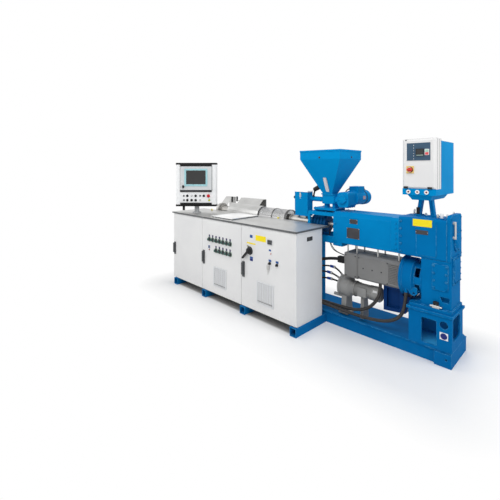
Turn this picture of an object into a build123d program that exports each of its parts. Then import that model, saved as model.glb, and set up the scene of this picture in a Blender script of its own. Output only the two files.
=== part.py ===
from build123d import *
from math import radians, tan
import os

os.makedirs("parts", exist_ok=True)

# A single-screw plastic extruder on its own base, with its heating cabinet,
# hopper, dosing feeder, main drive, vacuum pump, console and drive control box.
# Millimetres. +X runs along the screw towards the gearbox, +Z is up, and the
# operator stands at -Y. The origin is on the floor under the screw axis, at
# the cross tube nearest the gearbox end of the cabinet.

# Clearances
seat_gap = 0.4            # between a piece and what carries it, where they don't touch
door_gap = 5.0            # seam round each door

# Screw line and drive line
screw_z = 1055.0
drive_z = 665.0

# Cabinet
cabinet_right = 30.0
cabinet_length = 2320.0
cabinet_depth = 455.0
cabinet_front = -700.0
cabinet_top = 1040.0
sheet = 20.0              # folded steel wall, with its stiffening return
door_thickness = 20.0
door_widths = [715.0, 775.0, 815.0]
door_names = ["left", "middle", "right"]
top_thickness = 20.0
top_overhang = 10.0
top_corner_r = 22.0

cabinet_left = cabinet_right - cabinet_length
cabinet_rear = cabinet_front + cabinet_depth
carcass_front = cabinet_front + door_thickness + seat_gap
table_z = cabinet_top + top_thickness

# Base frame
base_left = cabinet_left + 60.0
base_right = 1278.0
base_front = -175.0
base_rear = 255.0
base_height = 125.0
deck_thickness = 10.0
deck_overhang = 12.0
beam_width = 80.0
cross_width = 80.0
cross_xs = [0.0, -750.0, -1500.0, base_left + cross_width / 2]

# Cross tubes that carry the cabinet
tube_height = 90.0
tube_wall = 6.0
tube_nose = 18.0          # how far a tube stands out in front of the cabinet
cabinet_bottom = tube_height

# Corner pad with the anchor bolt hole
pad_length = 135.0
pad_depth = 28.0
anchor_hole_r = 9.0
anchor_height = 66.0
anchor_inset = 40.0

# Vent in the right end wall
louvre_y = -470.0
louvre_z = 956.0
louvre_size = (100.0, 44.0)

# Door fittings
handle_height = 180.0
handle_width = 28.0
handle_depth = 32.0
handle_z = 525.0
handle_inset = 38.0
grille_size = 250.0
grille_z = 318.0
grille_depth = 9.0
grille_xs = {"middle": -1180.0, "right": -395.0}
slat_count = 9
grille_frame = 14.0
slat_lift = 2.0
knob_r = 24.0
knob_depth = 26.0
knob_pitch = 69.0
upper_knob_z = 777.0
upper_knob_count = 7
lower_knob_z = 650.0
lower_knob_count = 5
knob_right = -983.0       # the last knob in each row
switch_x = -638.0
switch_z = 757.0
switch_r = 39.0
switch_base = 14.0
lever_length = 150.0

# Pedestal under the gearbox
pedestal_left = 922.0
pedestal_right = 1278.0
pedestal_front = -190.0
pedestal_rear = 150.0
pedestal_top = 445.0
pedestal_wall = 14.0
flange_lip = 12.0
flange_thickness = 22.0
window_width = 122.0
window_height = 215.0
window_x = 1098.0
window_bottom = 155.0
port_x = 1217.0
port_z = 350.0
port_r = 33.0
side_window_size = (205.0, 195.0)
side_window_y = -50.0
side_window_z = 308.0

# Gearbox
gear_foot_thickness = 30.0
gear_left = 1020.0
gear_right = 1265.0
gear_front = -160.0
gear_rear = 128.0
panel_x = 1180.0
panel_z = 746.0
panel_size = (126.0, 226.0)
panel_lift = 9.0
inspection_y = -24.0
inspection_z = 806.0
inspection_size = (222.0, 236.0)
inspection_lift = 10.0
upper_bottom = 890.0
upper_height = 355.0
upper_top = upper_bottom + upper_height
upper_left = 830.0
upper_front = -172.0
upper_rear = 150.0
end_plate_thickness = 32.0
end_plate_top = upper_top + 42.0
thrust_cover_r = 92.0
thrust_cover_depth = 26.0

# Long housing between the gearbox and the feed section
housing_left = 120.0
housing_bottom = 900.0
housing_top = upper_top - 20.0
housing_half = 165.0
housing_chamfer = 42.0
housing_flange = 75.0
housing_lip = 8.0
yoke_bottom = 872.0
yoke_top = 945.0
yoke_bar = 28.0
yoke_left = -330.0
yoke_plate = 18.0
column_size = (90.0, 120.0)
column_wall = 8.0
shaft_r = 30.0
collar_r = 42.0

# Main motor and coupling
motor_left = 240.0
terminal_length = 150.0
motor_right = 826.0
motor_half = 130.0
motor_bottom = 540.0
motor_top = 800.0
bell_left = motor_right
bell_flange_r = 185.0
bell_r = 176.0
bell_neck_r = 150.0
bell_bore_r = 128.0
web_length = 62.0
bracket_left = 640.0
bracket_right = 900.0
bracket_bottom = 282.0
bracket_step = 470.0
web_edge = 3.0
lead_boss_r = 14.0
stud_xs = [256.0, 360.0, 589.0, 799.0]
hanger_pad = 10.0
plug_left = 130.0
plug_y = -60.0
plug_z = 692.0
stud_r = 8.0
stud_y = 85.0

# Vacuum pump
pump_y = -35.0
pump_z = 405.0
pump_left = 155.0
pump_right = 320.0
pump_r = 104.0
pump_motor_r = 70.0
pump_motor_right = 605.0
pump_ports = [(-15.0, 490.0, 45.0), (-70.0, 474.0, 25.0), (-50.0, 430.0, 8.0)]
pump_port_r = 12.0
pump_port_length = 42.0

# Feed section and dosing feeder
feed_x = -130.0
feed_r = 96.0
feed_length = 190.0
feed_plate_left = -236.0
feed_plate_bottom = 1165.0
feed_plate_top = 1203.0
feed_plate_half = 140.0
feeder_plate_left = -180.0
feeder_plate_right = 112.0
feeder_plate_bottom = 1222.0
feeder_plate_top = 1246.0
feeder_plate_half = 105.0
dosing_z = 1335.0
dosing_left = -95.0
dosing_right = 68.0
dosing_half = 58.0
dosing_bottom = 1292.0
dosing_top = 1395.0
feed_tube_r = 29.0

# Hopper
hopper_x = -20.0
hopper_width = 524.0
hopper_depth = 456.0
hopper_neck = 124.0
hopper_bottom = 1411.0
hopper_height = 389.0
hopper_rim = 100.0
hopper_shoulder = hopper_bottom + hopper_height
hopper_top = hopper_shoulder + hopper_rim
hopper_sheet = 4.0
lid_sheet = 3.0
lid_turn = 16.0

# Inlet box
inlet_left = -476.0
inlet_right = -284.0
inlet_front = -80.0
inlet_rear = 24.0
inlet_bottom = 1125.0
inlet_top = 1414.0
inlet_sheet = 4.0
inlet_lid_thickness = 14.0

# Dosing gearmotor
dose_x = 200.0
dose_z = 1362.0
dose_half = 66.0
dose_front = -100.0
dose_rear = 75.0
dose_motor_r = 80.0
dose_motor_end = 415.0
fan_round = 30.0

# Barrel and its guards
barrel_r = 58.0
barrel_left = -2010.0
die_flange_r = 105.0
die_flange_thickness = 45.0
die_bore_r = 30.0
die_bore_depth = 90.0
die_bolt_pcd = 160.0
die_bolt_r = 7.0
die_bolt_count = 8
guard_r = 112.0
guard_sheet = 3.0
guard_left = -1085.0
guard_right = -590.0
guard_flange = 14.0
strap_lift = 1.0
cover_left = -1720.0
post_xs = [-900.0, -1650.0]
cradle = 30.0
inlet_boss = 80.0
table_edge = guard_r + 6.0
cover_plate_x = -1200.0
cover_plate_y = -428.0
cover_plate_size = (400.0, 455.0)
cover_plate_thickness = 18.0
table_notch_x = -250.0
table_notch_y = -150.0
deck_sheet = 6.0
deck_rear = 400.0
deck_post = 50.0
deck_post_xs = [cabinet_left + 190.0, cabinet_left + 890.0, guard_right - 130.0]

# Rear guard
rear_guard_left = cabinet_left + 20.0
rear_guard_right = -1400.0
rear_guard_front = 205.0
rear_guard_rear = 392.0
rear_guard_sheet = 3.0
rear_guard_top = 1230.0
rear_guard_chamfer = 85.0
rear_guard_break = -2105.0
rear_guard_gap = 210.0

# Console
console_x = cabinet_left + 370.0
console_y = -530.0
console_turn = 45.0
console_bottom = 1159.0
console_top = 1783.0
console_width = 452.0
console_wing = 65.0
console_depth = 150.0
console_bar = 26.0
console_hood = 26.0
display_bottom = 1393.0
display_frame = 14.0
bezel_size = (350.0, 270.0)
bezel_z = 1567.0
screen_size = (280.0, 201.0)
screen_z = 1575.0
button_rows = [(1310.0, [-175.0, -125.0, -64.0, -6.0, 58.0, 111.0]), (1248.0, [-175.0, -125.0, -64.0, -6.0, 58.0])]
button_r = 12.0
stop_x = 180.0
post_r = 34.0

# Drive control box on its stand
box_left = 873.0
box_right = 1157.0
box_front = -200.0
box_rear = 325.0
tray_height = 48.0
tray_inset = 35.0
tray_taper = 32.0
tray_bottom = upper_top + 161.0
box_bottom = tray_bottom + tray_height
box_top = box_bottom + 508.0
box_face = 145.0
box_hood = 18.0
box_strip = 56.0
lamp_pitch = 77.0
lamp_shift = -9.0
display_plate_size = (199.0, 157.0)
display_plate_drop = 117.5
stop_plate = 66.0
stop_rise = 229.0
leg_width = 32.0
leg_feet = [931.0, 1059.0]
leg_heads = [955.0, 1040.0]
leg_y = (box_front + box_rear) / 2
leg_depth = 60.0

# Leads, conduits and hoses
conduit_d = 32.0
lead_d = 34.0
hose_d = 18.0
sensor_d = 8.0
gland_wall = 9.0
cord_routes = {
    "conduit_rear": (conduit_d, [(-304, -226, 204), (-120, -128, 199), (120, -126, 198), (340, -128, 205),
                                 (500, -138, 262), (600, -142, 372), (626, -116, 458), (622, -103, 537.6)]),
    "conduit_front": (conduit_d, [(-200, -226, 196), (-90, -168, 192), (130, -166, 186), (340, -167, 179),
                                  (540, -166, 184), (715, -166, 212), (842, -164, 292), (881, -148, 410),
                                  (884, -140, 534.8)]),
    "power_lead": (lead_d, [(-170, -226, 640), (-70, -128, 660), (35, -66, 684), (127.8, -60, 691)]),
    "hose_upper": (hose_d, [(-150, -226, 571), (-150, -130, 571), (-30, -26, 580), (75, -15, 570),
                            (130.4, -15, 520.6)]),
    "hose_middle": (hose_d, [(-150, -226, 514), (-150, -156, 514), (-66, -80, 520), (45, -70, 521),
                             (121.6, -70, 492.4)]),
    "hose_lower": (hose_d, [(-150, -226, 434), (-150, -152, 434), (-72, -66, 441), (35, -50, 445),
                            (118.4, -50, 436)]),
    "sensor_lead_left": (sensor_d, [(24, -47, 1058), (20, -84, 1010), (26, -88, 905), (58, -84, 815),
                                    (125, -76, 762), (217.2, -70, 748)]),
    "sensor_lead_right": (sensor_d, [(46, -47, 1052), (38, -100, 990), (36, -106, 890), (60, -98, 806),
                                     (122, -92, 768), (217.2, -86, 750)]),
}


def side_plane(y, z):
    """Plane seen from the front: local x is X, local y is up from z."""
    return Plane(origin=(0, y, z), x_dir=(1, 0, 0), z_dir=(0, -1, 0))


def tilted_plane(x, y, z, tilt):
    """Plane that looks towards -X and up by tilt degrees."""
    return Plane(origin=(x, y, z), z_dir=Vector(-1, 0, 0).rotate(Axis.Y, tilt))


gear_base = pedestal_top + gear_foot_thickness
deck_z = base_height
beam_top = base_height - deck_thickness

# Welded base: two long beams, cross members and the deck plate
with BuildPart() as base_frame:
    with BuildSketch(Plane.XY):
        for beam_y in (base_front + beam_width / 2, base_rear - beam_width / 2):
            with Locations(((base_left + base_right) / 2, beam_y)):
                Rectangle(base_right - base_left, beam_width)
        for cross_x in cross_xs + [base_right - cross_width / 2, 560.0]:
            with Locations((cross_x, (base_front + base_rear) / 2)):
                Rectangle(cross_width, base_rear - base_front)
    extrude(amount=beam_top)
    with BuildSketch(Plane.XY.offset(beam_top)):
        with Locations(((base_left + base_right) / 2, (base_front + base_rear) / 2)):
            Rectangle(base_right - base_left, base_rear - base_front + 2 * deck_overhang)
    extrude(amount=deck_thickness)
    with BuildSketch(Plane.XY):
        with Locations((base_right - pad_length / 2, base_front - pad_depth / 2)):
            Rectangle(pad_length, pad_depth)
    extrude(amount=beam_top)
    with Locations(Plane(origin=(base_right - anchor_inset, base_front - pad_depth, anchor_height),
                         z_dir=(0, -1, 0))):
        Hole(radius=anchor_hole_r, depth=pad_depth)
base_frame.part.label = "base_frame"
export_step(base_frame.part, "parts/base_frame.step")

# Square cross tubes, open at the front, that carry the cabinet
with BuildPart() as cross_tubes:
    tube_start = cabinet_front - tube_nose
    with BuildSketch(Plane.XZ.offset(-tube_start)):
        for cross_x in cross_xs:
            with Locations((cross_x, tube_height / 2)):
                Rectangle(cross_width, tube_height)
                Rectangle(cross_width - 2 * tube_wall, tube_height - 2 * tube_wall, mode=Mode.SUBTRACT)
    extrude(amount=-(base_front - tube_start))
cross_tubes.part.label = "cross_tubes"
export_step(cross_tubes.part, "parts/cross_tubes.step")

# Pedestal: an open box column with windows, a top flange and a rear gusset
with BuildPart() as pedestal:
    pedestal_x = (pedestal_left + pedestal_right) / 2
    pedestal_y = (pedestal_front + pedestal_rear) / 2
    pedestal_length = pedestal_right - pedestal_left
    pedestal_depth = pedestal_rear - pedestal_front
    with BuildSketch(Plane.XY.offset(deck_z)):
        with Locations((pedestal_x, pedestal_y)):
            Rectangle(pedestal_length, pedestal_depth)
    extrude(amount=pedestal_top - deck_z)
    fillet(pedestal.edges().filter_by(Axis.Z), radius=10)
    with BuildSketch(Plane.XY.offset(pedestal_top - flange_thickness)):
        with Locations((pedestal_x, pedestal_y)):
            Rectangle(pedestal_length + 2 * flange_lip, pedestal_depth + 2 * flange_lip)
    extrude(amount=flange_thickness)
    with BuildSketch(Plane.XY.offset(deck_z)):
        with Locations((pedestal_x, pedestal_y)):
            Rectangle(pedestal_length - 2 * pedestal_wall, pedestal_depth - 2 * pedestal_wall)
    extrude(amount=pedestal_top - flange_thickness - deck_z, mode=Mode.SUBTRACT)
    with BuildSketch(Plane.XZ.offset(-pedestal_front - pedestal_wall)):
        with Locations((window_x, window_bottom + window_height / 2)):
            RectangleRounded(window_width, window_height, 12)
        with Locations((port_x, port_z)):
            Circle(port_r)
    extrude(amount=pedestal_wall, mode=Mode.SUBTRACT)
    with BuildSketch(Plane.YZ.offset(pedestal_right - pedestal_wall)):
        with Locations((side_window_y, side_window_z)):
            RectangleRounded(side_window_size[0], side_window_size[1], 30)
    extrude(amount=pedestal_wall, mode=Mode.SUBTRACT)
    with BuildSketch(Plane.YZ.offset(pedestal_right - pedestal_wall)):
        with BuildLine():
            Polyline((pedestal_rear, deck_z), (base_rear, deck_z), (pedestal_rear, deck_z + 62), close=True)
        make_face()
    extrude(amount=pedestal_wall)
pedestal.part.label = "pedestal"
export_step(pedestal.part, "parts/pedestal.step")

# Lower gearbox casting with its foot, the flared web and the front pocket
with BuildPart() as gearbox_lower:
    gear_mid_y = (gear_front + gear_rear) / 2
    with BuildSketch(Plane.XY.offset(pedestal_top)):
        with Locations((pedestal_x, pedestal_y)):
            RectangleRounded(pedestal_length - 6, pedestal_depth - 6, 14)
    extrude(amount=gear_foot_thickness)
    with BuildSketch(Plane.XY.offset(gear_base)):
        with Locations(((gear_left + gear_right) / 2, gear_mid_y)):
            RectangleRounded(gear_right - gear_left, gear_rear - gear_front, 16)
    extrude(amount=upper_bottom - gear_base)
    web_rise = drive_z - bell_neck_r - seat_gap - gear_base
    with BuildSketch(Plane.XZ.offset(-gear_rear + 40)):
        with BuildLine():
            Polyline((gear_left - web_length, gear_base + web_edge), (gear_left - web_length, gear_base),
                     (gear_left, gear_base), (gear_left, gear_base + web_rise))
            TangentArc((gear_left - web_length, gear_base + web_edge), (gear_left, gear_base + web_rise),
                       tangent=(1, 0))
        make_face()
    extrude(amount=gear_rear - gear_front - 80)
    with BuildSketch(Plane.XZ.offset(-gear_front)):
        with Locations((panel_x, panel_z)):
            RectangleRounded(panel_size[0], panel_size[1], 10)
    extrude(amount=panel_lift)
    with BuildSketch(Plane.XZ.offset(-gear_front)):
        with BuildLine():
            Polyline((1178, 580), (1252, 580), (1252, 535), (1196, 535), close=True)
        make_face()
    extrude(amount=-34, mode=Mode.SUBTRACT)
gearbox_lower.part.label = "gearbox_lower"
export_step(gearbox_lower.part, "parts/gearbox_lower.step")

# Upper gearbox casting with its end plate
with BuildPart() as gearbox_upper:
    upper_length = gear_right - upper_left
    with BuildSketch(Plane.YZ.offset(upper_left)):
        with Locations(((upper_front + upper_rear) / 2, (upper_bottom + upper_top) / 2)):
            RectangleRounded(upper_rear - upper_front, upper_top - upper_bottom, 18)
    extrude(amount=upper_length - end_plate_thickness)
    with BuildSketch(Plane.XZ.offset(-upper_front)):
        with Locations((1070, (upper_bottom + upper_top) / 2)):
            RectangleRounded(170, upper_top - upper_bottom - 44, 20)
    extrude(amount=5, taper=30)
    with BuildSketch(Plane.YZ.offset(gear_right - end_plate_thickness)) as end_outline:
        with Locations(((upper_front + upper_rear) / 2 + 6, (upper_bottom + end_plate_top) / 2)):
            Rectangle(upper_rear - upper_front, end_plate_top - upper_bottom)
        fillet(end_outline.vertices().group_by(Axis.Y)[-1], radius=40)
    extrude(amount=end_plate_thickness)
gearbox_upper.part.label = "gearbox_upper"
export_step(gearbox_upper.part, "parts/gearbox_upper.step")

# Covers on the gearbox's end: the stepped thrust bearing cover and the bolted inspection cover
with BuildPart() as gearbox_covers:
    with BuildSketch(side_plane(0, screw_z)):
        with BuildLine():
            cover_face = gear_right + thrust_cover_depth
            Polyline((gear_right, 0), (gear_right, thrust_cover_r), (gear_right + 12, thrust_cover_r),
                     (gear_right + 12, thrust_cover_r - 16), (cover_face - 4, thrust_cover_r - 24),
                     (cover_face, 40), (cover_face, 0), close=True)
        make_face()
    revolve(axis=Axis((0, 0, screw_z), (1, 0, 0)))
    with BuildSketch(Plane.YZ.offset(gear_right)):
        with Locations((inspection_y, inspection_z)):
            RectangleRounded(inspection_size[0], inspection_size[1], 14)
    extrude(amount=inspection_lift)
    with BuildSketch(Plane.YZ.offset(gear_right + inspection_lift)):
        with Locations((inspection_y, inspection_z)):
            RectangleRounded(inspection_size[0] - 46, inspection_size[1] - 46, 10)
    extrude(amount=7, taper=20)
gearbox_covers.part.label = "gearbox_covers"
export_step(gearbox_covers.part, "parts/gearbox_covers.step")

# Gearbox fittings: the oil level glass on the end plate and the drain ball valve on the foot
with BuildPart() as gearbox_fittings:
    level_y = upper_front + 70
    with BuildSketch(Plane.YZ.offset(gear_right)):
        with Locations((level_y, 1095), (level_y, 1222)):
            RectangleRounded(24, 22, 5)
    extrude(amount=16)
    with BuildSketch(Plane.XY.offset(1084)):
        with Locations((gear_right + 16, level_y)):
            Circle(9)
    extrude(amount=149)
    valve_half = 13.0
    valve_y = gear_front - valve_half - seat_gap
    valve_z = gear_base + valve_half
    with BuildSketch(Plane.YZ.offset(1122)):
        with Locations((valve_y, valve_z)):
            RectangleRounded(2 * valve_half, 2 * valve_half, 5)
    extrude(amount=58)
    with BuildSketch(Plane.YZ.offset(1104)):
        with Locations((valve_y, valve_z)):
            Circle(9)
    extrude(amount=94)
    with BuildSketch(Plane.XY.offset(valve_z)):
        with Locations((1150, valve_y)):
            Circle(6)
    extrude(amount=24)
    with BuildSketch(Plane.XY.offset(valve_z + 20)):
        with Locations((1150, valve_y)):
            Ellipse(20, 12)
    extrude(amount=18)
gearbox_fittings.part.label = "gearbox_fittings"
export_step(gearbox_fittings.part, "parts/gearbox_fittings.step")

# Long housing: chamfered beam with a bolted flange and the deep block at the feed end
with BuildPart() as long_housing:
    with BuildSketch(Plane.YZ.offset(housing_left)):
        with BuildLine():
            Polyline((-housing_half, housing_bottom), (housing_half, housing_bottom),
                     (housing_half, housing_top - housing_chamfer),
                     (housing_half - housing_chamfer, housing_top),
                     (housing_chamfer - housing_half, housing_top),
                     (-housing_half, housing_top - housing_chamfer), close=True)
        make_face()
    extrude(amount=upper_left - housing_left)
    with BuildSketch(Plane.YZ.offset(upper_left - housing_flange)):
        with Locations((0, (housing_bottom + housing_top) / 2)):
            RectangleRounded(2 * (housing_half + housing_lip), housing_top - housing_bottom, 30)
    extrude(amount=housing_flange)
    with BuildSketch(Plane.YZ.offset(housing_left)):
        with Locations((0, 1025)):
            RectangleRounded(2 * housing_half, 340, 16)
    extrude(amount=105)
    with BuildSketch(Plane.XY.offset(housing_bottom - hanger_pad)):
        with Locations(((motor_left + upper_left) / 2, 0)):
            Rectangle(upper_left - motor_left, 2 * housing_half - 40)
    extrude(amount=hanger_pad)
long_housing.part.label = "long_housing"
export_step(long_housing.part, "parts/long_housing.step")

# Supports of the barrel: the yoke on its column under the feed section, and two cradled posts
with BuildPart() as barrel_supports:
    yoke_y = feed_plate_half - yoke_bar / 2
    column_x = feed_x - 40
    with BuildSketch(Plane.XY.offset(yoke_bottom)):
        for side in (-1, 1):
            with Locations(((yoke_left + housing_left) / 2, side * yoke_y)):
                Rectangle(housing_left - yoke_left, yoke_bar)
        with Locations((yoke_left + yoke_bar / 2, 0)):
            Rectangle(yoke_bar, 2 * feed_plate_half)
    extrude(amount=yoke_top - yoke_bottom)
    with BuildSketch(Plane.XY.offset(yoke_bottom)):
        with Locations((column_x, 0)):
            Rectangle(column_size[0], 2 * feed_plate_half)
    extrude(amount=yoke_plate)
    with BuildSketch(Plane.XY.offset(deck_z)):
        with Locations((column_x, 0)):
            Rectangle(column_size[0], column_size[1])
            Rectangle(column_size[0] - 2 * column_wall, column_size[1] - 2 * column_wall, mode=Mode.SUBTRACT)
    extrude(amount=yoke_bottom - deck_z)
    for post_x in post_xs:
        with BuildSketch(Plane.XY.offset(deck_z)):
            with Locations((post_x, 0)):
                Rectangle(column_size[0], column_size[1])
        extrude(amount=screw_z - barrel_r - cradle - deck_z)
        with BuildSketch(Plane.YZ.offset(post_x - column_size[0] / 2)):
            with Locations((0, screw_z - barrel_r - cradle / 2)):
                Rectangle(column_size[1], cradle)
            with Locations((0, screw_z)):
                Circle(barrel_r + seat_gap, mode=Mode.SUBTRACT)
        extrude(amount=column_size[0])
barrel_supports.part.label = "barrel_supports"
export_step(barrel_supports.part, "parts/barrel_supports.step")

# Screw shaft between the long housing and the feed section
with BuildPart() as screw_shaft:
    with BuildSketch(Plane.YZ.offset(feed_x + feed_length / 2)):
        with Locations((0, screw_z)):
            Circle(shaft_r)
    extrude(amount=housing_left - feed_x - feed_length / 2)
    with BuildSketch(Plane.YZ.offset(10)):
        with Locations((0, screw_z)):
            Circle(collar_r)
    extrude(amount=46)
screw_shaft.part.label = "screw_shaft"
export_step(screw_shaft.part, "parts/screw_shaft.step")

# Cooled feed cylinder with its ribs and the throat up to the feed plate
with BuildPart() as feed_cylinder:
    feed_start = feed_x - feed_length / 2
    with BuildSketch(Plane.YZ.offset(feed_start)):
        with Locations((0, screw_z)):
            Circle(feed_r - 14)
    extrude(amount=feed_length)
    for rib in range(5):
        with BuildSketch(Plane.YZ.offset(feed_start + rib * (feed_length - 16) / 4)):
            with Locations((0, screw_z)):
                Circle(feed_r)
        extrude(amount=16)
    with BuildSketch(Plane.XY.offset(screw_z)):
        with Locations((feed_x, 0)):
            Rectangle(feed_length - 50, 120)
    extrude(amount=feed_plate_bottom - screw_z)
    with BuildSketch(Plane.XY.offset(yoke_bottom + yoke_plate)):
        with Locations((column_x, 0)):
            Rectangle(60, 100)
    extrude(amount=screw_z - yoke_bottom - yoke_plate)
feed_cylinder.part.label = "feed_cylinder"
export_step(feed_cylinder.part, "parts/feed_cylinder.step")

# Plate that ties the feed throat to the long housing, with two legs on the table side
with BuildPart() as feed_plate:
    feed_plate_length = housing_left - feed_plate_left
    feed_plate_mid = (housing_left + feed_plate_left) / 2
    with BuildSketch(Plane.XY.offset(feed_plate_bottom)):
        with Locations((feed_plate_mid, 0)):
            RectangleRounded(feed_plate_length, 2 * feed_plate_half, 8)
    extrude(amount=feed_plate_top - feed_plate_bottom)
    with BuildSketch(Plane.YZ.offset(feed_plate_left)):
        for side in (-1, 1):
            with Locations((side * (feed_plate_half - 12), (yoke_top + feed_plate_bottom) / 2)):
                Rectangle(24, feed_plate_bottom - yoke_top)
    extrude(amount=30)
    with BuildSketch(Plane.XY.offset(feed_plate_top)):
        for end_x in (feeder_plate_left + 20, feeder_plate_right - 20):
            for side in (-1, 1):
                with Locations((end_x, side * (feeder_plate_half - 18))):
                    Circle(11)
        with Locations((feed_x, 0)):
            Rectangle(130, 120)
    extrude(amount=feeder_plate_bottom - feed_plate_top)
feed_plate.part.label = "feed_plate"
export_step(feed_plate.part, "parts/feed_plate.step")

# Dosing housing under the hopper: foot plate, drop pipe, bracket and the tube from the inlet box
with BuildPart() as dosing_housing:
    dosing_mid = (dosing_left + dosing_right) / 2
    with BuildSketch(Plane.XY.offset(feeder_plate_bottom)):
        with Locations(((feeder_plate_left + feeder_plate_right) / 2, 0)):
            RectangleRounded(feeder_plate_right - feeder_plate_left, 2 * feeder_plate_half, 6)
    extrude(amount=feeder_plate_top - feeder_plate_bottom)
    with BuildSketch(Plane.XY.offset(feeder_plate_top)):
        with Locations((-62, 0)):
            Circle(32)
    extrude(amount=dosing_bottom - feeder_plate_top)
    with BuildSketch(Plane.XZ.offset(-45)):
        with Locations((50, (feeder_plate_top + dosing_bottom) / 2)):
            Rectangle(30, dosing_bottom - feeder_plate_top)
    extrude(amount=90)
    with BuildSketch(Plane.XY.offset(dosing_bottom)):
        with Locations((dosing_mid, 0)):
            RectangleRounded(dosing_right - dosing_left, 2 * dosing_half, 14)
    extrude(amount=dosing_top - dosing_bottom)
    with BuildSketch(Plane.XY.offset(dosing_top)):
        with Locations((hopper_x, 0)):
            RectangleRounded(156, 140, 8)
    extrude(amount=hopper_bottom - dosing_top - 8)
    with BuildSketch(Plane.YZ.offset(inlet_right)):
        with Locations((0, dosing_z)):
            Circle(feed_tube_r)
    extrude(amount=dosing_left - inlet_right)
    with BuildSketch(Plane.YZ.offset(inlet_right)):
        with Locations((0, dosing_z)):
            Circle(feed_tube_r + 10)
    extrude(amount=8)
    with BuildSketch(Plane.YZ.offset(dosing_right)):
        with Locations((0, dosing_z)):
            Circle(46)
    extrude(amount=dose_x - dose_half - dosing_right)
dosing_housing.part.label = "dosing_housing"
export_step(dosing_housing.part, "parts/dosing_housing.step")

# Hopper: square sheet funnel under an upright rim, with a neck flange
with BuildPart() as hopper:
    inset = 2 * hopper_sheet
    with BuildSketch(Plane.XY.offset(hopper_bottom)):
        with Locations((hopper_x, 0)):
            Rectangle(hopper_neck, hopper_neck)
    with BuildSketch(Plane.XY.offset(hopper_shoulder)):
        with Locations((hopper_x, 0)):
            Rectangle(hopper_width, hopper_depth)
    loft()
    with BuildSketch(Plane.XY.offset(hopper_shoulder)):
        with Locations((hopper_x, 0)):
            Rectangle(hopper_width, hopper_depth)
    extrude(amount=hopper_top - hopper_shoulder)
    with BuildSketch(Plane.XY.offset(hopper_bottom)):
        with Locations((hopper_x, 0)):
            Rectangle(hopper_neck - inset, hopper_neck - inset)
    with BuildSketch(Plane.XY.offset(hopper_shoulder)):
        with Locations((hopper_x, 0)):
            Rectangle(hopper_width - inset, hopper_depth - inset)
    loft(mode=Mode.SUBTRACT)
    with BuildSketch(Plane.XY.offset(hopper_shoulder)):
        with Locations((hopper_x, 0)):
            Rectangle(hopper_width - inset, hopper_depth - inset)
    extrude(amount=hopper_top - hopper_shoulder, mode=Mode.SUBTRACT)
    with BuildSketch(Plane.XY.offset(hopper_bottom - 8)):
        with Locations((hopper_x, 0)):
            Rectangle(156, 140)
            Rectangle(hopper_neck - inset, hopper_neck - inset, mode=Mode.SUBTRACT)
    extrude(amount=8)
hopper.part.label = "hopper"
export_step(hopper.part, "parts/hopper.step")

# Sheet lid with its turned-down edge, held on the rim by side screws
with BuildPart() as hopper_lid:
    with BuildSketch(Plane.XY.offset(hopper_top)):
        with Locations((hopper_x, 0)):
            Rectangle(hopper_width + 2 * lid_sheet + 1, hopper_depth + 2 * lid_sheet + 1)
    extrude(amount=lid_sheet)
    with BuildSketch(Plane.XY.offset(hopper_top - lid_turn)):
        with Locations((hopper_x, 0)):
            Rectangle(hopper_width + 2 * lid_sheet + 1, hopper_depth + 2 * lid_sheet + 1)
            Rectangle(hopper_width + 1, hopper_depth + 1, mode=Mode.SUBTRACT)
    extrude(amount=lid_turn)
hopper_lid.part.label = "hopper_lid"
export_step(hopper_lid.part, "parts/hopper_lid.step")

# Inlet box: open-topped sheet box, drawn in towards its foot
with BuildPart() as inlet_box:
    inlet_x = (inlet_left + inlet_right) / 2
    inlet_y = (inlet_front + inlet_rear) / 2
    inlet_w = inlet_right - inlet_left
    inlet_d = inlet_rear - inlet_front
    inlet_knee = inlet_bottom + 70
    with BuildSketch(Plane.XY.offset(inlet_knee)):
        with Locations((inlet_x, inlet_y)):
            Rectangle(inlet_w, inlet_d)
    extrude(amount=inlet_top - inlet_knee)
    with BuildSketch(Plane.XY.offset(inlet_bottom)):
        with Locations((inlet_x + 6, inlet_y)):
            Rectangle(inlet_w - 12, inlet_d)
    with BuildSketch(Plane.XY.offset(inlet_knee)):
        with Locations((inlet_x, inlet_y)):
            Rectangle(inlet_w, inlet_d)
    loft()
    with BuildSketch(Plane.XY.offset(inlet_knee)):
        with Locations((inlet_x, inlet_y)):
            Rectangle(inlet_w - 2 * inlet_sheet, inlet_d - 2 * inlet_sheet)
    extrude(amount=inlet_top - inlet_knee, mode=Mode.SUBTRACT)
    with BuildSketch(Plane.XY.offset(inlet_bottom)):
        with Locations((inlet_x, inlet_y)):
            Rectangle(inlet_w + 10, inlet_d + 10)
    extrude(amount=6)
inlet_box.part.label = "inlet_box"
export_step(inlet_box.part, "parts/inlet_box.step")

# Inlet lid, hinged along its rear edge, with the toggle latch and side knob
with BuildPart() as inlet_lid:
    with BuildSketch(Plane.XY.offset(inlet_top + seat_gap)):
        with Locations((inlet_x, inlet_y)):
            RectangleRounded(inlet_w + 8, inlet_d + 8, 4)
    extrude(amount=inlet_lid_thickness)
inlet_lid.part.label = "inlet_lid"
export_step(inlet_lid.part, "parts/inlet_lid.step")

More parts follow.
